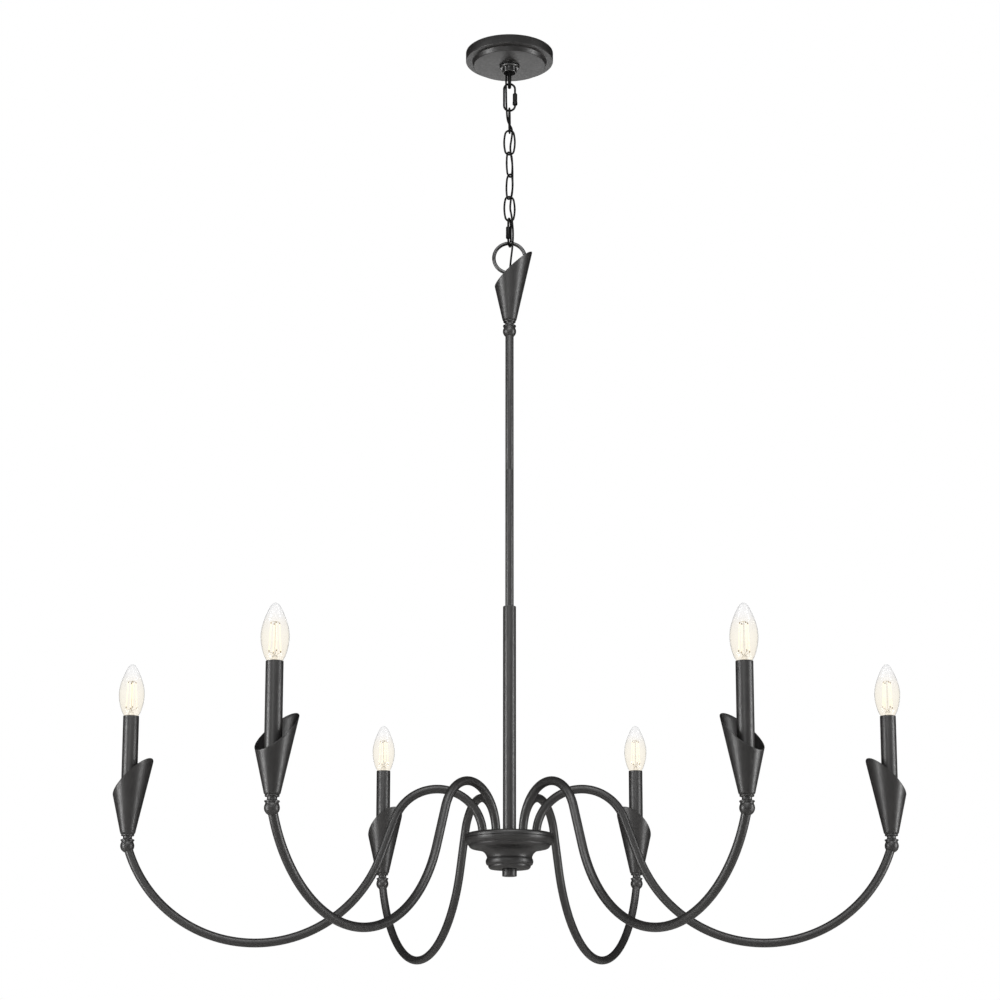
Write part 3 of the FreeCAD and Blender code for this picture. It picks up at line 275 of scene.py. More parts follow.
def lit_filament():
    """Phosphor-coated filament strip, lit, with the faint beading of its row of chips."""
    material, tree, shader, coordinates = finish_base("lit_filament")
    mapping = tree.nodes.new("ShaderNodeMapping")
    mapping.inputs["Scale"].default_value = (0.0, 0.0, 1.0)
    tree.links.new(coordinates.outputs["Object"], mapping.inputs["Vector"])
    beads = tree.nodes.new("ShaderNodeTexWave")
    beads.wave_type = "BANDS"
    beads.bands_direction = "Z"
    beads.inputs["Scale"].default_value = 200.0
    beads.inputs["Distortion"].default_value = 0.0
    tree.links.new(mapping.outputs["Vector"], beads.inputs["Vector"])
    stops = [(0.2, (1.0, 0.91, 0.72)), (0.8, (1.0, 0.95, 0.82))]
    tint(tree, shader, beads.outputs["Fac"], stops, "Emission Color")
    tint(tree, shader, beads.outputs["Fac"], [(0.2, (0.55, 0.46, 0.30)), (0.8, (0.62, 0.54, 0.38))])
    shader.inputs["Emission Strength"].default_value = 0.95
    shader.inputs["Roughness"].default_value = 0.6
    return material


def seen_or_seen_through(tree):
    """1 for what is looked at directly or through glass, 0 for what only lights or is mirrored."""
    path = tree.nodes.new("ShaderNodeLightPath")
    either = tree.nodes.new("ShaderNodeMath")
    either.operation = "MAXIMUM"
    tree.links.new(path.outputs["Is Camera Ray"], either.inputs[0])
    tree.links.new(path.outputs["Is Transmission Ray"], either.inputs[1])
    return either.outputs["Value"]


def floor_finish():
    """Pale painted floor that stays pale where the lamps do not reach it."""
    material, tree, shader, coordinates = finish_base("studio_floor")
    tone = grain(tree, coordinates, 3.0, 4.0)
    tint(tree, shader, tone, [(0.3, (0.70, 0.685, 0.67)), (0.7, (0.76, 0.745, 0.73))])
    shader.inputs["Roughness"].default_value = 0.85
    shader.inputs["Emission Color"].default_value = (0.90, 0.89, 0.88, 1.0)
    share = tree.nodes.new("ShaderNodeMath")
    share.operation = "MULTIPLY"
    share.inputs[1].default_value = 0.7
    tree.links.new(seen_or_seen_through(tree), share.inputs[0])
    tree.links.new(share.outputs["Value"], shader.inputs["Emission Strength"])
    return material


COVER_TOP_Z = high("candle_cover_right")
BULB_HEIGHT = high("bulb_right") - COVER_TOP_Z

COAT = powder_coat("matte_black_powder_coat", (0.0095, 0.0090, 0.0088), (0.0155, 0.0148, 0.0145), 0.41)
SATIN = powder_coat("satin_black_enamel", (0.0015, 0.0015, 0.0015), (0.004, 0.004, 0.004), 0.33, 0.08)
RING_ENAMEL = powder_coat("ring_black_enamel", (0.003, 0.003, 0.003), (0.007, 0.007, 0.007), 0.2, 0.6)
COLLAR_ENAMEL = powder_coat(
    "collar_black_enamel", (0.004, 0.004, 0.004), (0.009, 0.009, 0.009), 0.15, 1.0
)
ZINC = bright_steel("zinc_plated_steel", (0.62, 0.62, 0.60), 0.34)
NICKEL = bright_steel("nickel_plated_brass", (0.74, 0.70, 0.62), 0.26)
GOLD_WIRE = bright_steel("gilt_lead_wire", (0.46, 0.36, 0.22), 0.4)
PALE_WIRE = bright_steel("pale_lead_wire", (0.86, 0.79, 0.64), 0.45)
JACKET = cord_jacket()
PHENOLIC = moulded_phenolic()
GLASS = bulb_glass()
STEM_GLASS = stem_glass()
FILAMENT = lit_filament()

# ---- mesh builders ------------------------------------------------------------------------------


def mesh_object(name, mesh):
    piece = bpy.data.objects.new(name, mesh)
    bpy.context.scene.collection.objects.link(piece)
    return piece


def finished(bm, name, material, sharp=FLAT_ANGLE):
    """Mesh object from a bmesh, normals outwards, smooth except at sharp edges."""
    bmesh.ops.remove_doubles(bm, verts=bm.verts, dist=0.000002)
    bmesh.ops.recalc_face_normals(bm, faces=bm.faces)
    mesh = bpy.data.meshes.new(name)
    bm.to_mesh(mesh)
    bm.free()
    mesh.shade_smooth()
    mesh.set_sharp_from_angle(angle=sharp)
    mesh.materials.append(material)
    return mesh_object(name, mesh)


def arc_points(start, through, end, steps=10):
    """Points of the circular arc through three (radius, height) points."""
    (ax, ay), (bx, by), (cx, cy) = start, through, end
    d = 2 * (ax * (by - cy) + bx * (cy - ay) + cx * (ay - by))
    a, b, c = ax**2 + ay**2, bx**2 + by**2, cx**2 + cy**2
    ux = (a * (by - cy) + b * (cy - ay) + c * (ay - by)) / d
    uy = (a * (cx - bx) + b * (ax - cx) + c * (bx - ax)) / d
    radius = math.hypot(ax - ux, ay - uy)
    first = math.atan2(ay - uy, ax - ux)
    passing = (math.atan2(by - uy, bx - ux) - first) % math.tau
    last = (math.atan2(cy - uy, cx - ux) - first) % math.tau
    if passing > last:
        last -= math.tau
    angles = [first + last * i / steps for i in range(steps + 1)]
    return [(ux + radius * math.cos(angle), uy + radius * math.sin(angle)) for angle in angles]


def eased(points, radius, closed=False, steps=4):
    """Profile with each corner turned into a small curve of about the radius."""
    count = len(points)
    result = []
    for i, (x, y) in enumerate(points):
        if not closed and i in (0, count - 1):
            result.append((x, y))
            continue
        px, py = points[i - 1]
        nx, ny = points[(i + 1) % count]
        before = math.hypot(px - x, py - y)
        after = math.hypot(nx - x, ny - y)
        cosine = ((px - x) * (nx - x) + (py - y) * (ny - y)) / (before * after)
        if cosine < -0.97:
            result.append((x, y))
            continue
        trim_before = min(radius, 0.45 * before)
        trim_after = min(radius, 0.45 * after)
        sx, sy = x + (px - x) * trim_before / before, y + (py - y) * trim_before / before
        ex, ey = x + (nx - x) * trim_after / after, y + (ny - y) * trim_after / after
        for step in range(steps + 1):
            t = step / steps
            a, b, c = (1 - t) ** 2, 2 * t * (1 - t), t * t
            result.append((a * sx + b * x + c * ex, a * sy + b * y + c * ey))
    return result


def vertex(bm, place, radius, angle, height):
    """Adds a point at a distance and angle round the vertical through place."""
    x = place.x + radius * math.cos(angle)
    y = place.y + radius * math.sin(angle)
    return bm.verts.new((x * MM, y * MM, (place.z + height) * MM))


def turned_mesh(bm, profile, place, turns=TURNS, closed=False, ripple=None):
    """Adds a shape turned about the vertical through place. The profile is (radius, height) points
    in millimetres; a point on the axis becomes a pole. ripple(angle, height) adds to the radius."""
    rings = []
    for radius, height in profile:
        if radius < 1e-6:
            rings.append([vertex(bm, place, 0.0, 0.0, height)])
            continue
        ring = []
        for i in range(turns):
            angle = math.tau * i / turns
            reach = radius + (ripple(angle, height) if ripple else 0.0)
            ring.append(vertex(bm, place, reach, angle, height))
        rings.append(ring)
    pairs = list(zip(rings, rings[1:]))
    if closed:
        pairs.append((rings[-1], rings[0]))
    for lower, upper in pairs:
        for i in range(turns):
            j = (i + 1) % turns
            if len(lower) == 1 and len(upper) == 1:
                break
            if len(lower) == 1:
                bm.faces.new((lower[0], upper[j], upper[i]))
            elif len(upper) == 1:
                bm.faces.new((lower[i], lower[j], upper[0]))
            else:
                bm.faces.new((lower[i], lower[j], upper[j], upper[i]))
    return bm


def turned(name, profile, place, material, closed=False, turns=TURNS, ripple=None):
    bm = bmesh.new()
    turned_mesh(bm, profile, place, turns, closed, ripple)
    return finished(bm, name, material)


def bar_tree():
    """Geometry Nodes tree that draws a round bar along a path."""
    tree = bpy.data.node_groups.new("bar_along_path", "GeometryNodeTree")
    sockets = tree.interface
    kinds = {"Path": "Geometry", "Bar radius": "Float", "Sides": "Int", "Finish": "Material"}
    for label, kind in kinds.items():
        sockets.new_socket(label, in_out="INPUT", socket_type=f"NodeSocket{kind}")
    sockets.new_socket("Bar", in_out="OUTPUT", socket_type="NodeSocketGeometry")
    nodes, link = tree.nodes, tree.links.new
    source = nodes.new("NodeGroupInput")
    path = nodes.new("GeometryNodeMeshToCurve")
    section = nodes.new("GeometryNodeCurvePrimitiveCircle")
    sweep = nodes.new("GeometryNodeCurveToMesh")
    sweep.inputs["Fill Caps"].default_value = True
    smooth = nodes.new("GeometryNodeSetShadeSmooth")
    realize = nodes.new("GeometryNodeRealizeInstances")
    finish = nodes.new("GeometryNodeSetMaterial")
    result = nodes.new("NodeGroupOutput")
    link(source.outputs["Path"], path.inputs["Mesh"])
    link(source.outputs["Sides"], section.inputs["Resolution"])
    link(source.outputs["Bar radius"], section.inputs["Radius"])
    link(path.outputs["Curve"], sweep.inputs["Curve"])
    link(section.outputs["Curve"], sweep.inputs["Profile Curve"])
    link(sweep.outputs["Mesh"], smooth.inputs["Geometry"])
    link(smooth.outputs["Geometry"], realize.inputs["Geometry"])
    link(realize.outputs["Geometry"], finish.inputs["Geometry"])
    link(source.outputs["Finish"], finish.inputs["Material"])
    link(finish.outputs["Geometry"], result.inputs["Bar"])
    return tree


def set_input(modifier, label, value):
    """Sets a Geometry Nodes input by the identifier of its named socket."""
    for item in modifier.node_group.interface.items_tree:
        if item.item_type == "SOCKET" and item.in_out == "INPUT" and item.name == label:
            modifier[item.identifier] = value


BAR_TREE = bar_tree()


def round_bars(name, paths, radius, material, sides=32):
    """Round bars along (points, closed) paths in millimetres, made one plain mesh."""
    guide = bpy.data.meshes.new(name + "_guide")
    vertices = []
    edges = []
    for points, closed in paths:
        first = len(vertices)
        vertices += [tuple(value * MM for value in point) for point in points]
        edges += [(first + i, first + i + 1) for i in range(len(points) - 1)]
        if closed:
            edges.append((first + len(points) - 1, first))
    guide.from_pydata(vertices, edges, [])
    holder = mesh_object(name + "_guide", guide)
    modifier = holder.modifiers.new("bar", "NODES")
    modifier.node_group = BAR_TREE
    set_input(modifier, "Bar radius", radius * MM)
    set_input(modifier, "Sides", sides)
    set_input(modifier, "Finish", material)
    depsgraph = bpy.context.evaluated_depsgraph_get()
    mesh = bpy.data.meshes.new_from_object(holder.evaluated_get(depsgraph))
    mesh.name = name
    bpy.data.objects.remove(holder)
    bm = bmesh.new()
    bm.from_mesh(mesh)
    bmesh.ops.recalc_face_normals(bm, faces=bm.faces)
    bm.to_mesh(mesh)
    bm.free()
    mesh.set_sharp_from_angle(angle=FLAT_ANGLE)
    return mesh_object(name, mesh)


def joined(name, pieces):
    """One mesh object out of several, materials kept."""
    bm = bmesh.new()
    materials = []
    for piece in pieces:
        own = [slot for slot in piece.data.materials]
        for material in own:
            if material not in materials:
                materials.append(material)
        start = len(bm.faces)
        bm.from_mesh(piece.data)
        bm.faces.ensure_lookup_table()
        for face in bm.faces[start:]:
            face.material_index = materials.index(own[face.material_index])
    mesh = bpy.data.meshes.new(name)
    bm.to_mesh(mesh)
    bm.free()
    for material in materials:
        mesh.materials.append(material)
    for piece in pieces:
        old = piece.data
        bpy.data.objects.remove(piece)
        bpy.data.meshes.remove(old)
    return mesh_object(name, mesh)


def bevelled(piece, width, segments=2, angle=30.0):
    """Applies a small bevel to a piece's sharp edges."""
    modifier = piece.modifiers.new("edge", "BEVEL")
    modifier.width = width * MM
    modifier.segments = segments
    modifier.limit_method = "ANGLE"
    modifier.angle_limit = math.radians(angle)
    depsgraph = bpy.context.evaluated_depsgraph_get()
    mesh = bpy.data.meshes.new_from_object(piece.evaluated_get(depsgraph))
    piece.modifiers.remove(modifier)
    old = piece.data
    piece.data = mesh
    bpy.data.meshes.remove(old)
    mesh.shade_smooth()
    mesh.set_sharp_from_angle(angle=math.radians(50))
    return piece


def placed_on(piece, body, slot, *nodes):
    """Rides on a CAD body and stands for CAD nodes, which it hides. The slot argument is not used."""
    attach(piece, body)
    if nodes:
        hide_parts(*nodes)
    return piece


# ---- ceiling canopy and its collar --------------------------------------------------------------


def canopy():
    """Spun pan: a tall outer band with a rounded edge, a ledge and a raised face, thin walled."""
    outside = [
        (BAND_RADIUS - CANOPY_WALL, 0.0),
        (BAND_RADIUS, 0.0),
        (BAND_RADIUS, -BAND_HEIGHT),
        (54.0, -BAND_HEIGHT),
        (52.2, -CANOPY_HEIGHT),
        (9.4, -CANOPY_HEIGHT),
    ]
    face = -CANOPY_HEIGHT + CANOPY_WALL
    ledge = -BAND_HEIGHT + CANOPY_WALL
    inside = [(9.4, face), (50.9, face), (52.7, ledge), (BAND_RADIUS - CANOPY_WALL, ledge)]
    profile = eased(outside + inside, 1.0, closed=True)
    piece = turned("ceiling_canopy", profile, Vector((0, 0, 0)), COAT, closed=True, turns=192)
    placed_on(piece, "canopy", "matte_black_steel", "canopy")


def canopy_collar():
    """Screw collar: a knurled flange and a plain barrel."""
    top = high("canopy_collar")

    def knurl(angle, height):
        return 0.12 * math.cos(72 * angle) if -2.6 < height < -0.6 else 0.0

    profile = [
        (COLLAR_BORE_RADIUS, 0.0),
        (14.3, 0.0),
        (COLLAR_RADIUS, -0.5),
        (COLLAR_RADIUS, -1.2),
        (COLLAR_RADIUS, -2.0),
        (14.3, -2.7),
        (13.6, -3.5),
        (12.1, -4.2),
        (COLLAR_BARREL_RADIUS, -4.2),
        (COLLAR_BARREL_RADIUS, -10.3),
        (9.9, -COLLAR_HEIGHT),
        (COLLAR_BORE_RADIUS, -COLLAR_HEIGHT),
    ]
    piece = turned(
        "screw_collar",
        eased(profile, 0.3, closed=True, steps=2),
        Vector((0, 0, top)),
        COLLAR_ENAMEL,
        closed=True,
        turns=288,
        ripple=knurl,
    )
    placed_on(piece, "canopy_collar", "black_satin_steel", "canopy_collar")


# ---- chain --------------------------------------------------------------------------------------


def swept(points, azimuth, height):
    """Points of the XZ plane turned to an azimuth about the vertical and moved up to a height."""
    turn = math.radians(azimuth)
    return [(x * math.cos(turn), x * math.sin(turn), z + height) for x, z in points]


def oval_path():
    """Centre line of a chain link whose top is at height 0: tight end arcs and long side arcs."""
    half_length = LINK_LENGTH / 2 - LINK_WIRE_RADIUS
    half_width = LINK_WIDTH / 2 - LINK_WIRE_RADIUS
    end = 6.4
    offset = half_length - end
    side = (offset**2 + half_width**2 - end**2) / (2 * (half_width - end))
    towards = math.atan2(offset, side - half_width)
    corner = (end * math.cos(towards), offset + end * math.sin(towards))
    x, z = corner
    loop = (
        arc_points((x, z), (0, half_length), (-x, z), 28)[:-1]
        + arc_points((-x, z), (-half_width, 0), (-x, -z), 24)[:-1]
        + arc_points((-x, -z), (0, -half_length), (x, -z), 28)[:-1]
        + arc_points((x, -z), (half_width, 0), (x, z), 24)[:-1]
    )
    return [(px, pz - LINK_LENGTH / 2) for px, pz in loop]


def chain():
    for number, azimuth in enumerate(LINK_AZIMUTHS, start=1):
        node = f"chain_link_{number}"
        path = swept(oval_path(), azimuth, high(node))
        link = round_bars(f"oval_link_{number}", [(path, True)], LINK_WIRE_RADIUS, SATIN, 28)
        side = (LINK_WIDTH / 2 - LINK_WIRE_RADIUS, -LINK_LENGTH / 2)
        weld = weld_bead(f"weld_{number}", swept([side], azimuth, high(node))[0], LINK_WIRE_RADIUS)
        piece = joined(f"oval_link_{number}_welded", [link, weld])
        placed_on(piece, node, "black_satin_steel", node)


def weld_bead(name, place, wire):
    """Slight swelling where a link's ends are butt welded."""
    bm = bmesh.new()
    profile = [
        (0.0, -2.1),
        (wire * 0.9, -1.9),
        (wire * 1.04, -1.1),
        (wire * 1.09, 0.0),
        (wire * 1.04, 1.1),
        (wire * 0.9, 1.9),
        (0.0, 2.1),
    ]
    turned_mesh(bm, profile, Vector(place), 28)
    return finished(bm, name, SATIN, math.radians(60))


def quick_link(which, azimuth):
    """Straight-sided link open at one leg, and the threaded sleeve that closes it."""
    top = high(f"quick_link_{which}")
    bend = QUICK_LINK_BEND
    top_z = -QUICK_LINK_WIRE_RADIUS - bend
    bottom_z = -QUICK_LINK_LENGTH + QUICK_LINK_WIRE_RADIUS + bend
    gap_bottom = bottom_z + 1.8
    outline = (
        [(bend, gap_bottom + 3.2), (bend, top_z - 6.0)]
        + arc_points((bend, top_z), (0, top_z + bend), (-bend, top_z), 28)
        + arc_points((-bend, bottom_z), (0, bottom_z - bend), (bend, bottom_z), 28)
        + [(bend, gap_bottom)]
    )
    path = swept(outline, azimuth, top)
    link = round_bars(
        f"quick_link_wire_{which}", [(path, False)], QUICK_LINK_WIRE_RADIUS, SATIN, 28
    )
    bevelled(link, 0.35)
    placed_on(link, f"quick_link_{which}", "black_satin_steel", f"quick_link_{which}")
    foot = bottom_z + 0.8
    place = Vector(swept([(bend, foot)], azimuth, top)[0])
    bore = 1.56
    barrel = [
        (bore, 5.0),
        (3.05, 5.0),
        (3.3, 5.3),
        (3.3, 16.4),
        (3.1, 17.1),
        (2.7, 17.5),
        (bore, 17.5),
    ]
    turn = math.radians(azimuth)

    def hexagon(angle, _height):
        face = (angle - turn) % (math.tau / 6) - math.tau / 12
        return 3.6 * math.cos(math.tau / 12) / math.cos(face) - 3.6

    nut = [(bore, 0.0), (3.3, 0.0), (3.6, 0.45), (3.6, 4.55), (3.3, 5.0), (bore, 5.0)]
    bm = bmesh.new()
    turned_mesh(bm, barrel, place, 72, closed=True)
    turned_mesh(bm, nut, place, 72, closed=True, ripple=hexagon)
    sleeve = finished(bm, f"threaded_sleeve_{which}", SATIN, math.radians(24))
    node = f"quick_link_sleeve_{which}"
    placed_on(sleeve, node, "black_satin_steel", node)


def hanging_ring():
    centre = middle("hanging_ring")
    loop = [
        (
            centre.x + RING_RADIUS * math.cos(math.tau * i / 120),
            centre.y,
            centre.z + RING_RADIUS * math.sin(math.tau * i / 120),
        )
        for i in range(120)
    ]
    ring = round_bars("hanging_ring_bar", [(loop, True)], RING_WIRE_RADIUS, RING_ENAMEL, 40)
    placed_on(ring, "hanging_ring", "black_satin_steel", "hanging_ring")


# ---- lead cord ----------------------------------------------------------------------------------

# The cord's route from the canopy's nipple through the chain and ring and down the stem, in
# metres. The points are the control points of its spline.
CORD_POINTS = [
    (0.0, 0.0, -0.003),
    (0.0, 0.0, -0.017),
    (-0.0048, 0.0, -0.025),
    (-0.0048, 0.0, -0.037),
    (-0.0050, -0.0036, -0.045),
    (-0.0050, -0.0037, -0.054),
    (-0.0048, -0.0006, -0.064),
    (-0.0047, -0.0004, -0.074),
    (-0.0045, -0.0035, -0.084),
    (-0.0039, -0.0035, -0.093),
    (-0.0033, -0.0012, -0.103),
    (-0.0006, -0.0008, -0.1105),
    (0.0036, -0.0033, -0.118),
    (0.0039, -0.0035, -0.127),
    (0.0024, -0.0016, -0.137),
    (0.0009, -0.0035, -0.147),
    (0.0019, -0.0041, -0.158),
    (0.0039, -0.0025, -0.170),
    (0.0045, -0.0006, -0.182),
    (0.0044, 0.0001, -0.194),
    (0.0048, 0.0012, -0.206),
    (0.0028, 0.0042, -0.218),
    (0.0014, 0.0041, -0.229),
    (0.0008, 0.0004, -0.240),
    (0.0028, -0.0032, -0.250),
    (0.0040, -0.0032, -0.261),
    (0.0052, -0.0022, -0.275),
    (0.0050, -0.0050, -0.289),
    (0.0039, -0.0052, -0.303),
    (0.0016, -0.0062, -0.322),
    (0.0003, -0.0080, -0.340),
    (0.0002, -0.0084, -0.360),
    (0.0, -0.0072, -0.378),
    (0.0, 0.0, -0.396),
    (0.0, 0.0, -1.13575),
]
CORD_RADIUS = 0.0014


def cord_line():
    """Points read from the cord's own smooth spline."""
    curve = bpy.data.curves.new("lead_route", "CURVE")
    curve.dimensions = "3D"
    curve.resolution_u = 8
    spline = curve.splines.new("NURBS")
    spline.points.add(len(CORD_POINTS) - 1)
    for point, place in zip(spline.points, CORD_POINTS):
        point.co = (*place, 1.0)
    spline.order_u = 3
    spline.use_endpoint_u = True
    route = bpy.data.objects.new("lead_route", curve)
    bpy.context.scene.collection.objects.link(route)
    depsgraph = bpy.context.evaluated_depsgraph_get()
    mesh = bpy.data.meshes.new_from_object(route.evaluated_get(depsgraph))
    points = [vertex.co.copy() for vertex in mesh.vertices]
    bpy.data.objects.remove(route)
    bpy.data.meshes.remove(mesh)
    return points


def at_height(points, height):
    """Point of a descending line at a height."""
    for above, below in zip(points, points[1:]):
        if above.z >= height >= below.z:
            share = (above.z - height) / (above.z - below.z)
            return above.lerp(below, share)
    raise ValueError("the cord does not pass that height")


def lead_cord():
    """The cord in lengths: one for each joint that it bends over, one in the canopy and one in the
    stem. Neighbours meet at the middle of each link. Only the lengths in the canopy and the stem
    ride on a body; the others stay fixed where they are made."""
    line = cord_line()
    links = [f"chain_link_{number}" for number in range(1, len(LINK_AZIMUTHS) + 1)]
    chain_nodes = ["quick_link_upper"] + links + ["quick_link_lower", "hanging_ring"]
    cuts = [-0.036]
    for node in chain_nodes[:-1]:
        cuts.append(middle(node).z * MM)
    cuts += [middle("hanging_ring").z * MM, -0.372]
    bodies = ["ceiling_mount"] + chain_nodes + ["stem"]
    spans = [(None, cuts[0], "ceiling_mount", None)]
    for number in range(len(bodies) - 1):
        spans.append((cuts[number], cuts[number + 1], bodies[number], bodies[number + 1]))
    spans.append((cuts[-1], None, "stem", None))
    for number, (top, bottom, above, below) in enumerate(spans):
        start = at_height(line, top) if top is not None else line[0]
        end = at_height(line, bottom) if bottom is not None else line[-1]
        inner = [point for point in line if end.z + 1e-5 < point.z < start.z - 1e-5]
        points = [start] + inner + [end]
        path = [tuple(value / MM for value in point) for point in points]
        piece = round_bars(f"lead_length_{number}", [(path, False)], CORD_RADIUS / MM, JACKET, 20)
        if below is None:
            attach(piece, above)
        else:
            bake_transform(piece)
        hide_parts("lead_cord")


# ---- cups and couplers --------------------------------------------------------------------------


def cup(name, place, tip, body, node):
    """Calla cup: a thin flared cone cut by a slanted plane, its rim softly rounded, its tip turned
    to the angle tip."""
    wall = 1.1
    flare = 0.222
    heel_radius, heel_height = 10.3, 2.6
    low_rim, high_rim = 52.0, 103.0
    slant = math.sqrt(1 + flare**2)
    low_x = -heel_radius - flare * (low_rim - heel_height)
    tip_x = heel_radius + flare * (high_rim - heel_height)
    slope = (high_rim - low_rim) / (tip_x - low_x)
    level = low_rim - slope * low_x

    def rim_height(angle, radius_at_zero):
        run = slope * math.cos(angle)
        return (level + run * radius_at_zero) / (1 - flare * run)

    outer_zero = heel_radius - flare * heel_height
    inner_zero = outer_zero - wall * slant
    rows = 26
    columns = 144
    bm = bmesh.new()
    rings = []

    def ring(point_at):
        rings.append(
            [
                vertex(bm, place, radius, math.radians(tip) + angle, height)
                for angle in (math.tau * i / columns for i in range(columns))
                for radius, height in (point_at(angle),)
            ]
        )

    for radius, height in [(3.4, 1.6), (5.6, 1.6), (7.2, 1.7)]:
        ring(lambda _angle, r=radius, h=height: (r, h))
    for row in range(rows + 1):
        share = row / rows

        def inner(angle, share=share):
            height = heel_height + (rim_height(angle, inner_zero) - 0.35 - heel_height) * share
            return inner_zero + flare * height, height

        ring(inner)
    for across, lift in ((0.15, 0.0), (0.5, 0.12), (0.85, 0.0)):

        def lip(angle, across=across, lift=lift):
            zero = inner_zero + (outer_zero - inner_zero) * across
            height = rim_height(angle, zero) - 0.12 + lift
            return zero + flare * height, height

        ring(lip)
    for row in range(rows + 1):
        share = 1 - row / rows

        def outer(angle, share=share):
            height = heel_height + (rim_height(angle, outer_zero) - 0.35 - heel_height) * share
            return outer_zero + flare * height, height

        ring(outer)
    for radius, height in [(10.1, 1.9), (9.6, 1.0), (8.9, 0.3), (8.5, 0.0), (6.0, 0.0), (3.4, 0.0)]:
        ring(lambda _angle, r=radius, h=height: (r, h))
    rings.append(rings[0])
    for first, second in zip(rings, rings[1:]):
        for i in range(columns):
            j = (i + 1) % columns
            bm.faces.new((first[i], first[j], second[j], second[i]))
    piece = finished(bm, name, COAT, math.radians(48))
    placed_on(piece, body, "matte_black_steel", node)


def coupler(name, place, body, node):
    """Turned coupler under a cup: step, waisted neck, thin flange, and a ball in a groove."""
    groove_z = -15.7 + math.sqrt(9.5**2 - 8.2**2)
    ball = arc_points((8.2, groove_z), (9.5, -15.7), (2.4, -15.7 - math.sqrt(9.5**2 - 2.4**2)), 30)
    profile = (
        [(0.0, -0.02), (8.5, -0.02), (8.85, -0.6), (8.9, -1.1), (8.85, -1.6), (8.5, -2.2), (6.6, -2.25)]
        + arc_points((6.4, -2.5), (6.1, -4.3), (6.4, -6.1), 8)
        + [(9.15, -7.1), (9.3, -7.25), (9.3, -8.5), (9.15, -8.7), (8.2, -8.75), (8.2, groove_z)]
        + ball[1:]
        + [(0.0, ball[-1][1])]
    )
    piece = turned(name, profile, place, COAT, turns=96)
    placed_on(piece, body, "matte_black_steel", node)


# ---- stem and hub -------------------------------------------------------------------------------


def stem():
    rod_top = high("stem_rods")
    rod_foot = low("stem_rods")
    joint = rod_foot + ROD_LENGTH
    bm = bmesh.new()
    for bottom, top in ((joint, rod_top), (rod_foot, joint)):
        outline = [(0.0, bottom), (ROD_RADIUS, bottom), (ROD_RADIUS, top), (0.0, top)]
        profile = eased(outline, 0.35, steps=3)
        turned_mesh(bm, profile, Vector((0, 0, 0)), 96)
    rods = finished(bm, "stem_rod_pair", COAT)
    placed_on(rods, "stem", "matte_black_steel", "stem_rods")
    pipe_top = high("stem_pipe")
    pipe_foot = low("stem_pipe")
    outline = [(0.0, pipe_foot), (PIPE_RADIUS, pipe_foot), (PIPE_RADIUS, pipe_top), (0.0, pipe_top)]
    profile = eased(outline, 0.9)
    pipe = turned("stem_lower_pipe", profile, Vector((0, 0, 0)), COAT, turns=96)
    placed_on(pipe, "stem", "matte_black_steel", "stem_pipe")


def hub_plate():
    """Thick round plate with a broad soft edge and an eased lower edge."""
    top = high("hub_plate")
    edge = arc_points((HUB_RADIUS, -4.5), (60.08, -1.32), (56.9, 0.0), 12)
    foot = -HUB_PLATE_HEIGHT
    profile = [(0.0, foot), (60.8, foot), (61.25, -6.3), (HUB_RADIUS, -5.9)]
    profile += edge + [(0.0, 0.0)]
    plate = turned("hub_top_plate", profile, Vector((0, 0, top)), COAT, turns=192)
    placed_on(plate, "stem", "matte_black_steel", "hub_plate")


def hub_bowl():
    """Cover under the plate: rim, step, cove and bead above a flat floor, hollow inside."""
    top = high("hub_bowl")
    rim_bottom = -8.2
    step_bottom = rim_bottom - 5.2
    cove_top = step_bottom - 2.6
    cove_bottom = cove_top - 10.8
    bead_bottom = cove_bottom - 9.2
    floor = -48.5 + 6.8
    bead_middle = (cove_bottom + bead_bottom) / 2
    profile = [(60.7, 0.0), (61.2, -0.2), (HUB_RADIUS, -0.7)]
    profile += arc_points((HUB_RADIUS, -0.7), (60.3, -4.92), (57.8, rim_bottom), 10)[1:]
    profile += [(56.3, rim_bottom - 0.02), (56.1, rim_bottom - 0.3), (55.8, rim_bottom - 1.6)]
    step = (55.8, rim_bottom - 1.6)
    profile += arc_points(step, (54.2, step_bottom + 1.0), (50.6, step_bottom), 8)[1:]
    profile += [(39.8, cove_top)]
    profile += arc_points((39.8, cove_top), (33.48, cove_top - 4.43), (30.9, cove_bottom), 12)[1:]
    profile += arc_points((30.9, cove_bottom), (32.6, bead_middle), (31.2, bead_bottom), 10)[1:]
    under_bead = (29.2, bead_bottom - 1.0)
    profile += [under_bead]
    profile += arc_points(under_bead, (28.8, (floor + under_bead[1]) / 2), (26.6, floor), 8)[1:]
    profile += [(4.1, floor), (4.1, floor + 2.0), (25.6, floor + 2.0), (28.9, bead_bottom)]
    profile += [(28.9, cove_bottom), (37.8, cove_top + 2.0), (51.8, step_bottom + 2.0)]
    profile += [(55.0, rim_bottom + 1.0), (58.7, 0.0)]
    bowl = turned("hub_cover_bowl", profile, Vector((0, 0, top)), COAT, closed=True, turns=192)
    placed_on(bowl, "hub_bowl", "matte_black_steel", "hub_bowl")


def finial():
    bottom = low("finial")
    outline = [(0.0, 0.0), (FINIAL_RADIUS, 0.0), (FINIAL_RADIUS, FINIAL_HEIGHT)]
    outline += [(FINIAL_BORE_RADIUS, FINIAL_HEIGHT), (FINIAL_BORE_RADIUS, 2.5), (0.0, 2.5)]
    profile = eased(outline, 0.8)
    piece = turned("round_finial", profile, Vector((0, 0, bottom)), COAT, turns=96)
    placed_on(piece, "finial", "matte_black_steel", "finial")


# ---- arms ---------------------------------------------------------------------------------------


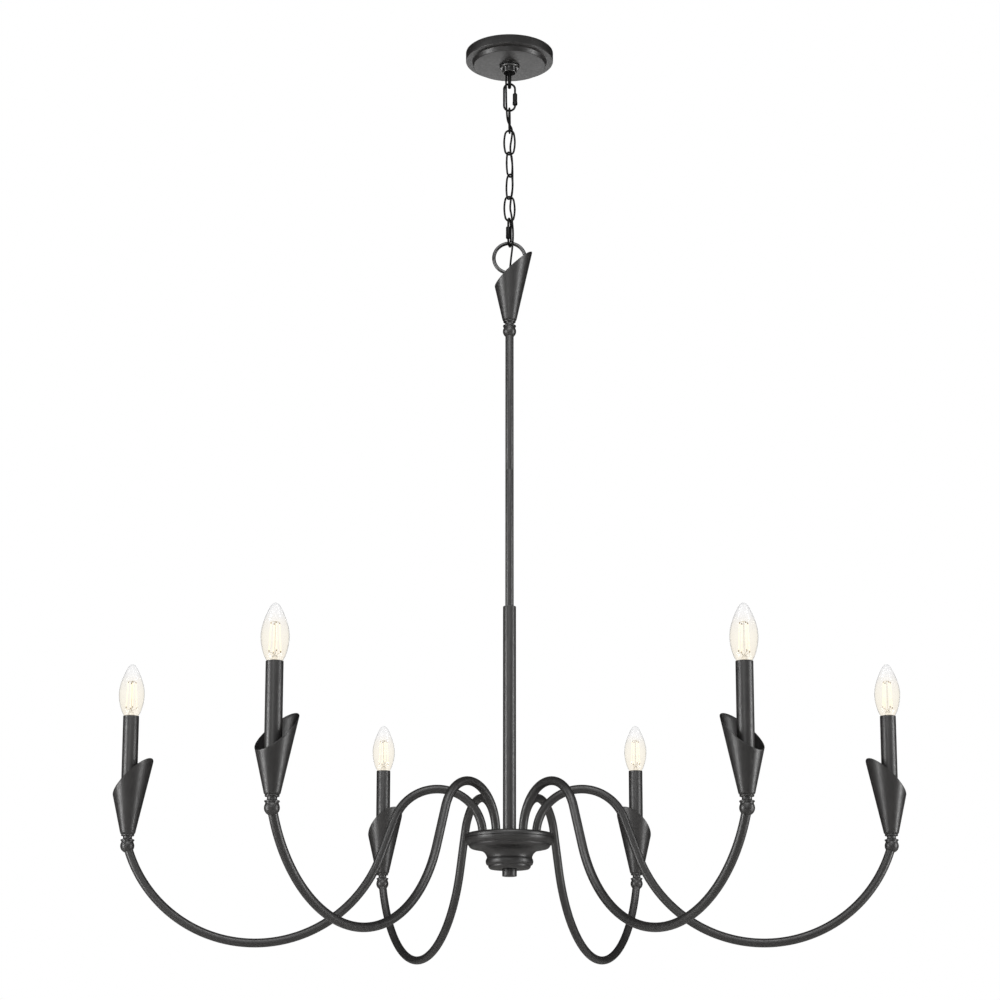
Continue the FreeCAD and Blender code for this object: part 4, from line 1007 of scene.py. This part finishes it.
def arm_points(reach, hub_top, cup_base, foot):
    """Centre line as (distance out, height): up, over the hump, down a straight that touches both
    arcs, round the big sweep and up into the coupler's ball."""
    hump_radius, sweep_radius, straight = 62.0, 180.0, 9.5
    lean = math.radians(19.2)
    ball = (reach, cup_base - 15.7)
    sweep_end = (ball[0] - straight * math.sin(lean), ball[1] - straight * math.cos(lean))
    sweep = (
        sweep_end[0] - sweep_radius * math.cos(lean),
        sweep_end[1] + sweep_radius * math.sin(lean),
    )
    hump = (hump_radius, hub_top - 1.0)
    apart = math.hypot(sweep[0] - hump[0], sweep[1] - hump[1])
    towards = math.atan2(sweep[1] - hump[1], sweep[0] - hump[0])
    normal = towards + math.acos((hump_radius + sweep_radius) / apart)
    points = [(0.0, foot)]
    bends = (
        (hump, hump_radius, math.pi, normal, 70),
        (sweep, sweep_radius, normal + math.pi, math.tau - lean, 90),
    )
    for (x, z), radius, first, last, steps in bends:
        for i in range(steps + 1):
            angle = first + (last - first) * i / steps
            points.append((x + radius * math.cos(angle), z + radius * math.sin(angle)))
    points.append(ball)
    return points


def arm(name, root, candle, cup_base):
    """Bent tube with a lip at its foot."""
    heading = math.atan2(candle.y - root.y, candle.x - root.x)
    reach = math.hypot(candle.x - root.x, candle.y - root.y)
    foot = high("hub_plate") - ARM_FOOT_DEPTH
    path = [
        (root.x + out * math.cos(heading), root.y + out * math.sin(heading), height)
        for out, height in arm_points(reach, high("hub_plate"), cup_base, foot)
    ]
    tube = round_bars(f"arm_tube_{name}", [(path, False)], ARM_TUBE_RADIUS, COAT, 48)
    outline = [(0.0, 0.0), (ARM_LIP_RADIUS, 0.0), (ARM_LIP_RADIUS, ARM_LIP_HEIGHT)]
    outline += [(0.0, ARM_LIP_HEIGHT)]
    lip = turned(
        f"arm_lip_{name}",
        eased(outline, 0.3, steps=2),
        Vector((root.x, root.y, foot)),
        COAT,
        turns=48,
    )
    piece = joined(f"bent_arm_{name}", [tube, lip])
    placed_on(piece, f"arm_{name}", "matte_black_steel", f"arm_{name}")


# ---- candles ------------------------------------------------------------------------------------


def candle_cover(name, candle):
    """Candle sleeve: a plain tube with a rolled top edge and a dark inside."""
    foot = low(f"candle_cover_{name}")
    top = high(f"candle_cover_{name}")
    outline = [(COVER_BORE_RADIUS, foot), (COVER_RADIUS, foot)]
    outline += [(COVER_RADIUS, top), (COVER_BORE_RADIUS, top)]
    profile = eased(outline, 0.4, closed=True, steps=3)
    place = Vector((candle.x, candle.y, 0))
    piece = turned(f"candle_sleeve_{name}", profile, place, COAT, closed=True, turns=96)
    placed_on(piece, f"arm_{name}", "matte_black_steel", f"candle_cover_{name}")


GLASS_LINE = [
    (9.4, 0.0),
    (11.4, 3.5),
    (13.1, 7.2),
    (14.5, 11.5),
    (15.8, 16.5),
    (16.8, 22.0),
    (17.3, 27.5),
    (17.35, 32.0),
    (16.9, 37.0),
    (15.9, 42.5),
    (14.4, 48.0),
    (12.5, 53.5),
    (10.6, 58.0),
    (8.6, 62.5),
    (6.6, 66.5),
    (4.7, 69.3),
    (2.9, 71.0),
    (1.3, 71.8),
    (0.0, GLASS_HEIGHT),
]


def smooth_line(points, steps=3):
    """Points of a curve that passes through the given points."""
    padded = [points[0]] + list(points) + [points[-1]]
    result = []
    for before, start, end, after in zip(padded, padded[1:], padded[2:], padded[3:]):
        for i in range(steps):
            t = i / steps
            result.append(
                tuple(
                    0.5
                    * (
                        2 * s
                        + (e - b) * t
                        + (2 * b - 5 * s + 4 * e - a) * t * t
                        + (3 * s - b - 3 * e + a) * t**3
                    )
                    for b, s, e, a in zip(before, start, end, after)
                )
            )
    result.append(points[-1])
    return [(max(radius, 0.0), height) for radius, height in result]


def bulb(name, candle, cover_top):
    """Clear candle bulb: blown envelope, pressed stem, four lit filaments on their lead wires, and
    the threaded base."""
    place = Vector((candle.x, candle.y, cover_top))
    neck = -7.7
    wall = 0.45
    outside = [(7.6, neck)] + smooth_line(GLASS_LINE)
    inside = [
        (max(radius - wall, 0.0), height - wall * (height / GLASS_HEIGHT) ** 6)
        for radius, height in outside
    ]
    inside[-1] = (0.0, GLASS_HEIGHT - 0.8)
    bm = bmesh.new()
    turned_mesh(bm, outside + list(reversed(inside)), place, 96, closed=True)
    envelope = finished(bm, f"bulb_envelope_{name}", GLASS, math.radians(60))
    stem_profile = [
        (0.0, neck + 0.2),
        (6.6, neck + 0.3),
        (6.2, neck + 1.6),
        (4.6, neck + 5.0),
        (3.8, 0.5),
        (3.6, 3.5),
        (3.3, 5.6),
        (2.4, 7.0),
        (1.2, 7.6),
        (0.0, 7.7),
    ]
    bm = bmesh.new()
    turned_mesh(bm, stem_profile, place, 40)
    post = finished(bm, f"bulb_stem_{name}", STEM_GLASS, math.radians(60))
    strips = []
    caps = []
    leads = []
    turn = math.radians(20)
    foot, head = (7.2, 13.0), (5.4, 45.5)
    for i in range(4):
        angle = turn + math.tau * i / 4
        along = Vector((math.cos(angle), math.sin(angle), 0))
        bottom = place + along * foot[0] + Vector((0, 0, foot[1]))
        top = place + along * head[0] + Vector((0, 0, head[1]))
        reach = (top - bottom).normalized()
        strips.append(([tuple(bottom.lerp(top, s / 6)) for s in range(7)], False))
        caps.append(([tuple(bottom - reach * 2.2), tuple(bottom + reach * 0.3)], False))
        caps.append(([tuple(top - reach * 0.3), tuple(top + reach * 2.0)], False))
        stem_side = place + along * 1.4 + Vector((0, 0, 6.6))
        elbow = place + along * 3.4 + Vector((0, 0, 9.6))
        leads.append(([tuple(stem_side), tuple(elbow), tuple(bottom - reach * 2.0)], False))
        crown = place + Vector((0, 0, head[1] + 3.2))
        hook = top + reach * 1.9
        over = hook.lerp(crown, 0.5) + Vector((0, 0, 0.5))
        leads.append(([tuple(hook), tuple(over), tuple(crown)], False))
    post_top = place + Vector((0, 0, 7.0))
    leads.append(([tuple(post_top), tuple(place + Vector((0, 0, head[1] + 3.2)))], False))
    lit = round_bars(f"filament_strips_{name}", strips, 0.75, FILAMENT, 10)
    ends = round_bars(f"filament_caps_{name}", caps, 0.6, GOLD_WIRE, 8)
    wires = round_bars(f"filament_leads_{name}", leads, 0.28, PALE_WIRE, 6)

    def thread(angle, height):
        rise = (height - neck + 19.0) / 3.2 - angle / math.tau
        return 0.32 * math.cos(math.tau * rise) - 0.32 if -26.0 < height < -10.0 else 0.0

    base_profile = [(0.0, neck - 21.0), (2.4, neck - 21.0), (3.3, neck - 20.2)]
    base_profile += [(4.6, neck - 19.0), (5.9, neck - 18.5)]
    base_profile += [(5.95, neck - 18.5 + 0.4 * i) for i in range(1, 45)]
    base_profile += [(5.95, neck - 0.35), (5.6, neck - 0.2), (0.0, neck - 0.2)]
    base = turned(f"bulb_screw_base_{name}", base_profile, place, NICKEL, turns=64, ripple=thread)
    piece = joined(f"candle_bulb_{name}", [envelope, post, lit, ends, wires, base])
    placed_on(piece, f"bulb_{name}", "clear_glass", f"bulb_{name}")


# ---- carried-over nodes -------------------------------------------------------------------------


def finish_nodes():
    """Procedural finishes for the CAD nodes that stay as they are."""
    finishes = {
        "crossbar": ZINC,
        "canopy_loop": SATIN,
        "top_stud": SATIN,
        "threaded_fasteners": ZINC,
    }
    for name in ARMS:
        finishes[f"socket_{name}"] = PHENOLIC
    for node, material in finishes.items():
        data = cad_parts[node].data
        if not data.materials:
            data.materials.append(material)
        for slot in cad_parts[node].material_slots:
            slot.material = material


# ---- studio -------------------------------------------------------------------------------------


def soft_light(name, place, aim, width, height, power):
    data = bpy.data.lights.new(name, "AREA")
    data.shape = "RECTANGLE"
    data.size = width
    data.size_y = height
    data.energy = power
    lamp = bpy.data.objects.new(name, data)
    lamp.location = place
    lamp.rotation_euler = (Vector(aim) - Vector(place)).to_track_quat("-Z", "Y").to_euler()
    bpy.context.scene.collection.objects.link(lamp)
    lamp.visible_camera = False
    return lamp


def link_light(lamp, names, state):
    """Keeps a lamp's light to the named pieces (INCLUDE) or off them (EXCLUDE)."""
    receivers = bpy.data.collections.new(lamp.name + "_receivers")
    for name in names:
        receivers.objects.link(bpy.data.objects[name])
    for member in receivers.collection_objects:
        member.light_linking.link_state = state
    lamp.light_linking.receiver_collection = receivers


def studio():
    scene = bpy.context.scene
    scene.view_settings.view_transform = "Standard"
    bm = bmesh.new()
    bmesh.ops.create_grid(bm, x_segments=12, y_segments=12, size=12.0)
    bmesh.ops.translate(bm, verts=bm.verts, vec=(0, 0, -2.2))
    floor = finished(bm, "studio_floor", floor_finish())
    centre_z = -1.0
    bulbs = [f"candle_bulb_{name}" for name in ARMS]
    left = soft_light("left_softbox", (-2.9, -1.3, centre_z), (0, 0, centre_z), 0.8, 2.6, 105)
    right = soft_light("right_softbox", (3.0, -0.9, centre_z), (0, 0, centre_z), 0.8, 2.6, 90)
    fill = soft_light("front_fill", (-0.9, -4.2, -0.2), (0, 0, centre_z), 1.2, 1.2, 22)
    panel = soft_light("canopy_panel", (0.0, 1.7, -0.8), (0, 0, -0.02), 1.5, 0.9, 7)
    link_light(panel, ["ceiling_canopy", "screw_collar"], "INCLUDE")
    overhead = soft_light("overhead_fill", (0.0, -1.6, 0.9), (0, 0, -1.0), 2.0, 1.2, 45)
    link_light(overhead, ["ceiling_canopy", "screw_collar"] + bulbs, "EXCLUDE")
    for lamp in (left, right, fill):
        link_light(lamp, bulbs, "EXCLUDE")
    world = bpy.data.worlds.new("studio_sky")
    scene.world = world
    world.use_nodes = True
    tree = world.node_tree
    output = tree.nodes["World Output"]
    seen = tree.nodes["Background"]
    seen.inputs["Color"].default_value = (1.0, 1.0, 1.0, 1.0)
    seen.inputs["Strength"].default_value = 1.0
    lit = tree.nodes.new("ShaderNodeBackground")
    lit.inputs["Strength"].default_value = 0.5
    direction = tree.nodes.new("ShaderNodeTexCoord")
    split = tree.nodes.new("ShaderNodeSeparateXYZ")
    tree.links.new(direction.outputs["Generated"], split.inputs["Vector"])
    front = tree.nodes.new("ShaderNodeValToRGB")
    front.color_ramp.elements[0].position = 0.12
    front.color_ramp.elements[0].color = (1.0, 1.0, 1.0, 1)
    front.color_ramp.elements[1].position = 0.55
    front.color_ramp.elements[1].color = (0.02, 0.02, 0.02, 1)
    spread_y = tree.nodes.new("ShaderNodeMapRange")
    spread_y.inputs["From Min"].default_value = -1.0
    spread_y.inputs["From Max"].default_value = 1.0
    tree.links.new(split.outputs["Y"], spread_y.inputs["Value"])
    tree.links.new(spread_y.outputs["Result"], front.inputs["Fac"])
    tree.links.new(front.outputs["Color"], lit.inputs["Color"])
    mix = tree.nodes.new("ShaderNodeMixShader")
    tree.links.new(seen_or_seen_through(tree), mix.inputs["Fac"])
    tree.links.new(lit.outputs["Background"], mix.inputs[1])
    tree.links.new(seen.outputs["Background"], mix.inputs[2])
    tree.links.new(mix.outputs["Shader"], output.inputs["Surface"])


def camera():
    """Long lens a little below the hub, tipped up 10.87 degrees, the frame shifted up."""
    data = bpy.data.cameras.new("studio_camera")
    data.lens = 86.4
    data.sensor_width = 36.0
    data.shift_x = -0.0095
    data.shift_y = 0.165
    data.clip_end = 60.0
    eye = bpy.data.objects.new("studio_camera", data)
    eye.location = (0.0, -3.273, (high("hub_plate") - 393.05) * MM)
    eye.rotation_euler = (math.radians(90 + 10.87), 0.0, 0.0)
    bpy.context.scene.collection.objects.link(eye)
    bpy.context.scene.camera = eye


# ---- making -------------------------------------------------------------------------------------

camera()
lead_cord()
canopy()
canopy_collar()
chain()
quick_link("upper", 0.0)
quick_link("lower", 257.0)
hanging_ring()
stem()
hub_plate()
hub_bowl()
finial()
top_cup_base = low("top_cup")
cup("top_calla_cup", Vector((0, 0, top_cup_base)), 0.0, "stem", "top_cup")
coupler("top_ball_coupler", Vector((0, 0, top_cup_base)), "stem", "top_coupler")
for arm_name, turn in ARMS.items():
    root_angle = math.radians(turn["root"])
    arm_root = ARM_ROOT_DISTANCE * Vector((math.cos(root_angle), math.sin(root_angle), 0))
    candle_axis = middle(f"candle_cover_{arm_name}")
    base = low(f"cup_{arm_name}")
    arm(arm_name, arm_root, candle_axis, base)
    at_base = Vector((candle_axis.x, candle_axis.y, base))
    coupler(f"ball_coupler_{arm_name}", at_base, f"arm_{arm_name}", f"coupler_{arm_name}")
    cup(f"calla_cup_{arm_name}", at_base, turn["tip"], f"arm_{arm_name}", f"cup_{arm_name}")
    candle_cover(arm_name, candle_axis)
    bulb(arm_name, candle_axis, high(f"candle_cover_{arm_name}"))
finish_nodes()
studio()
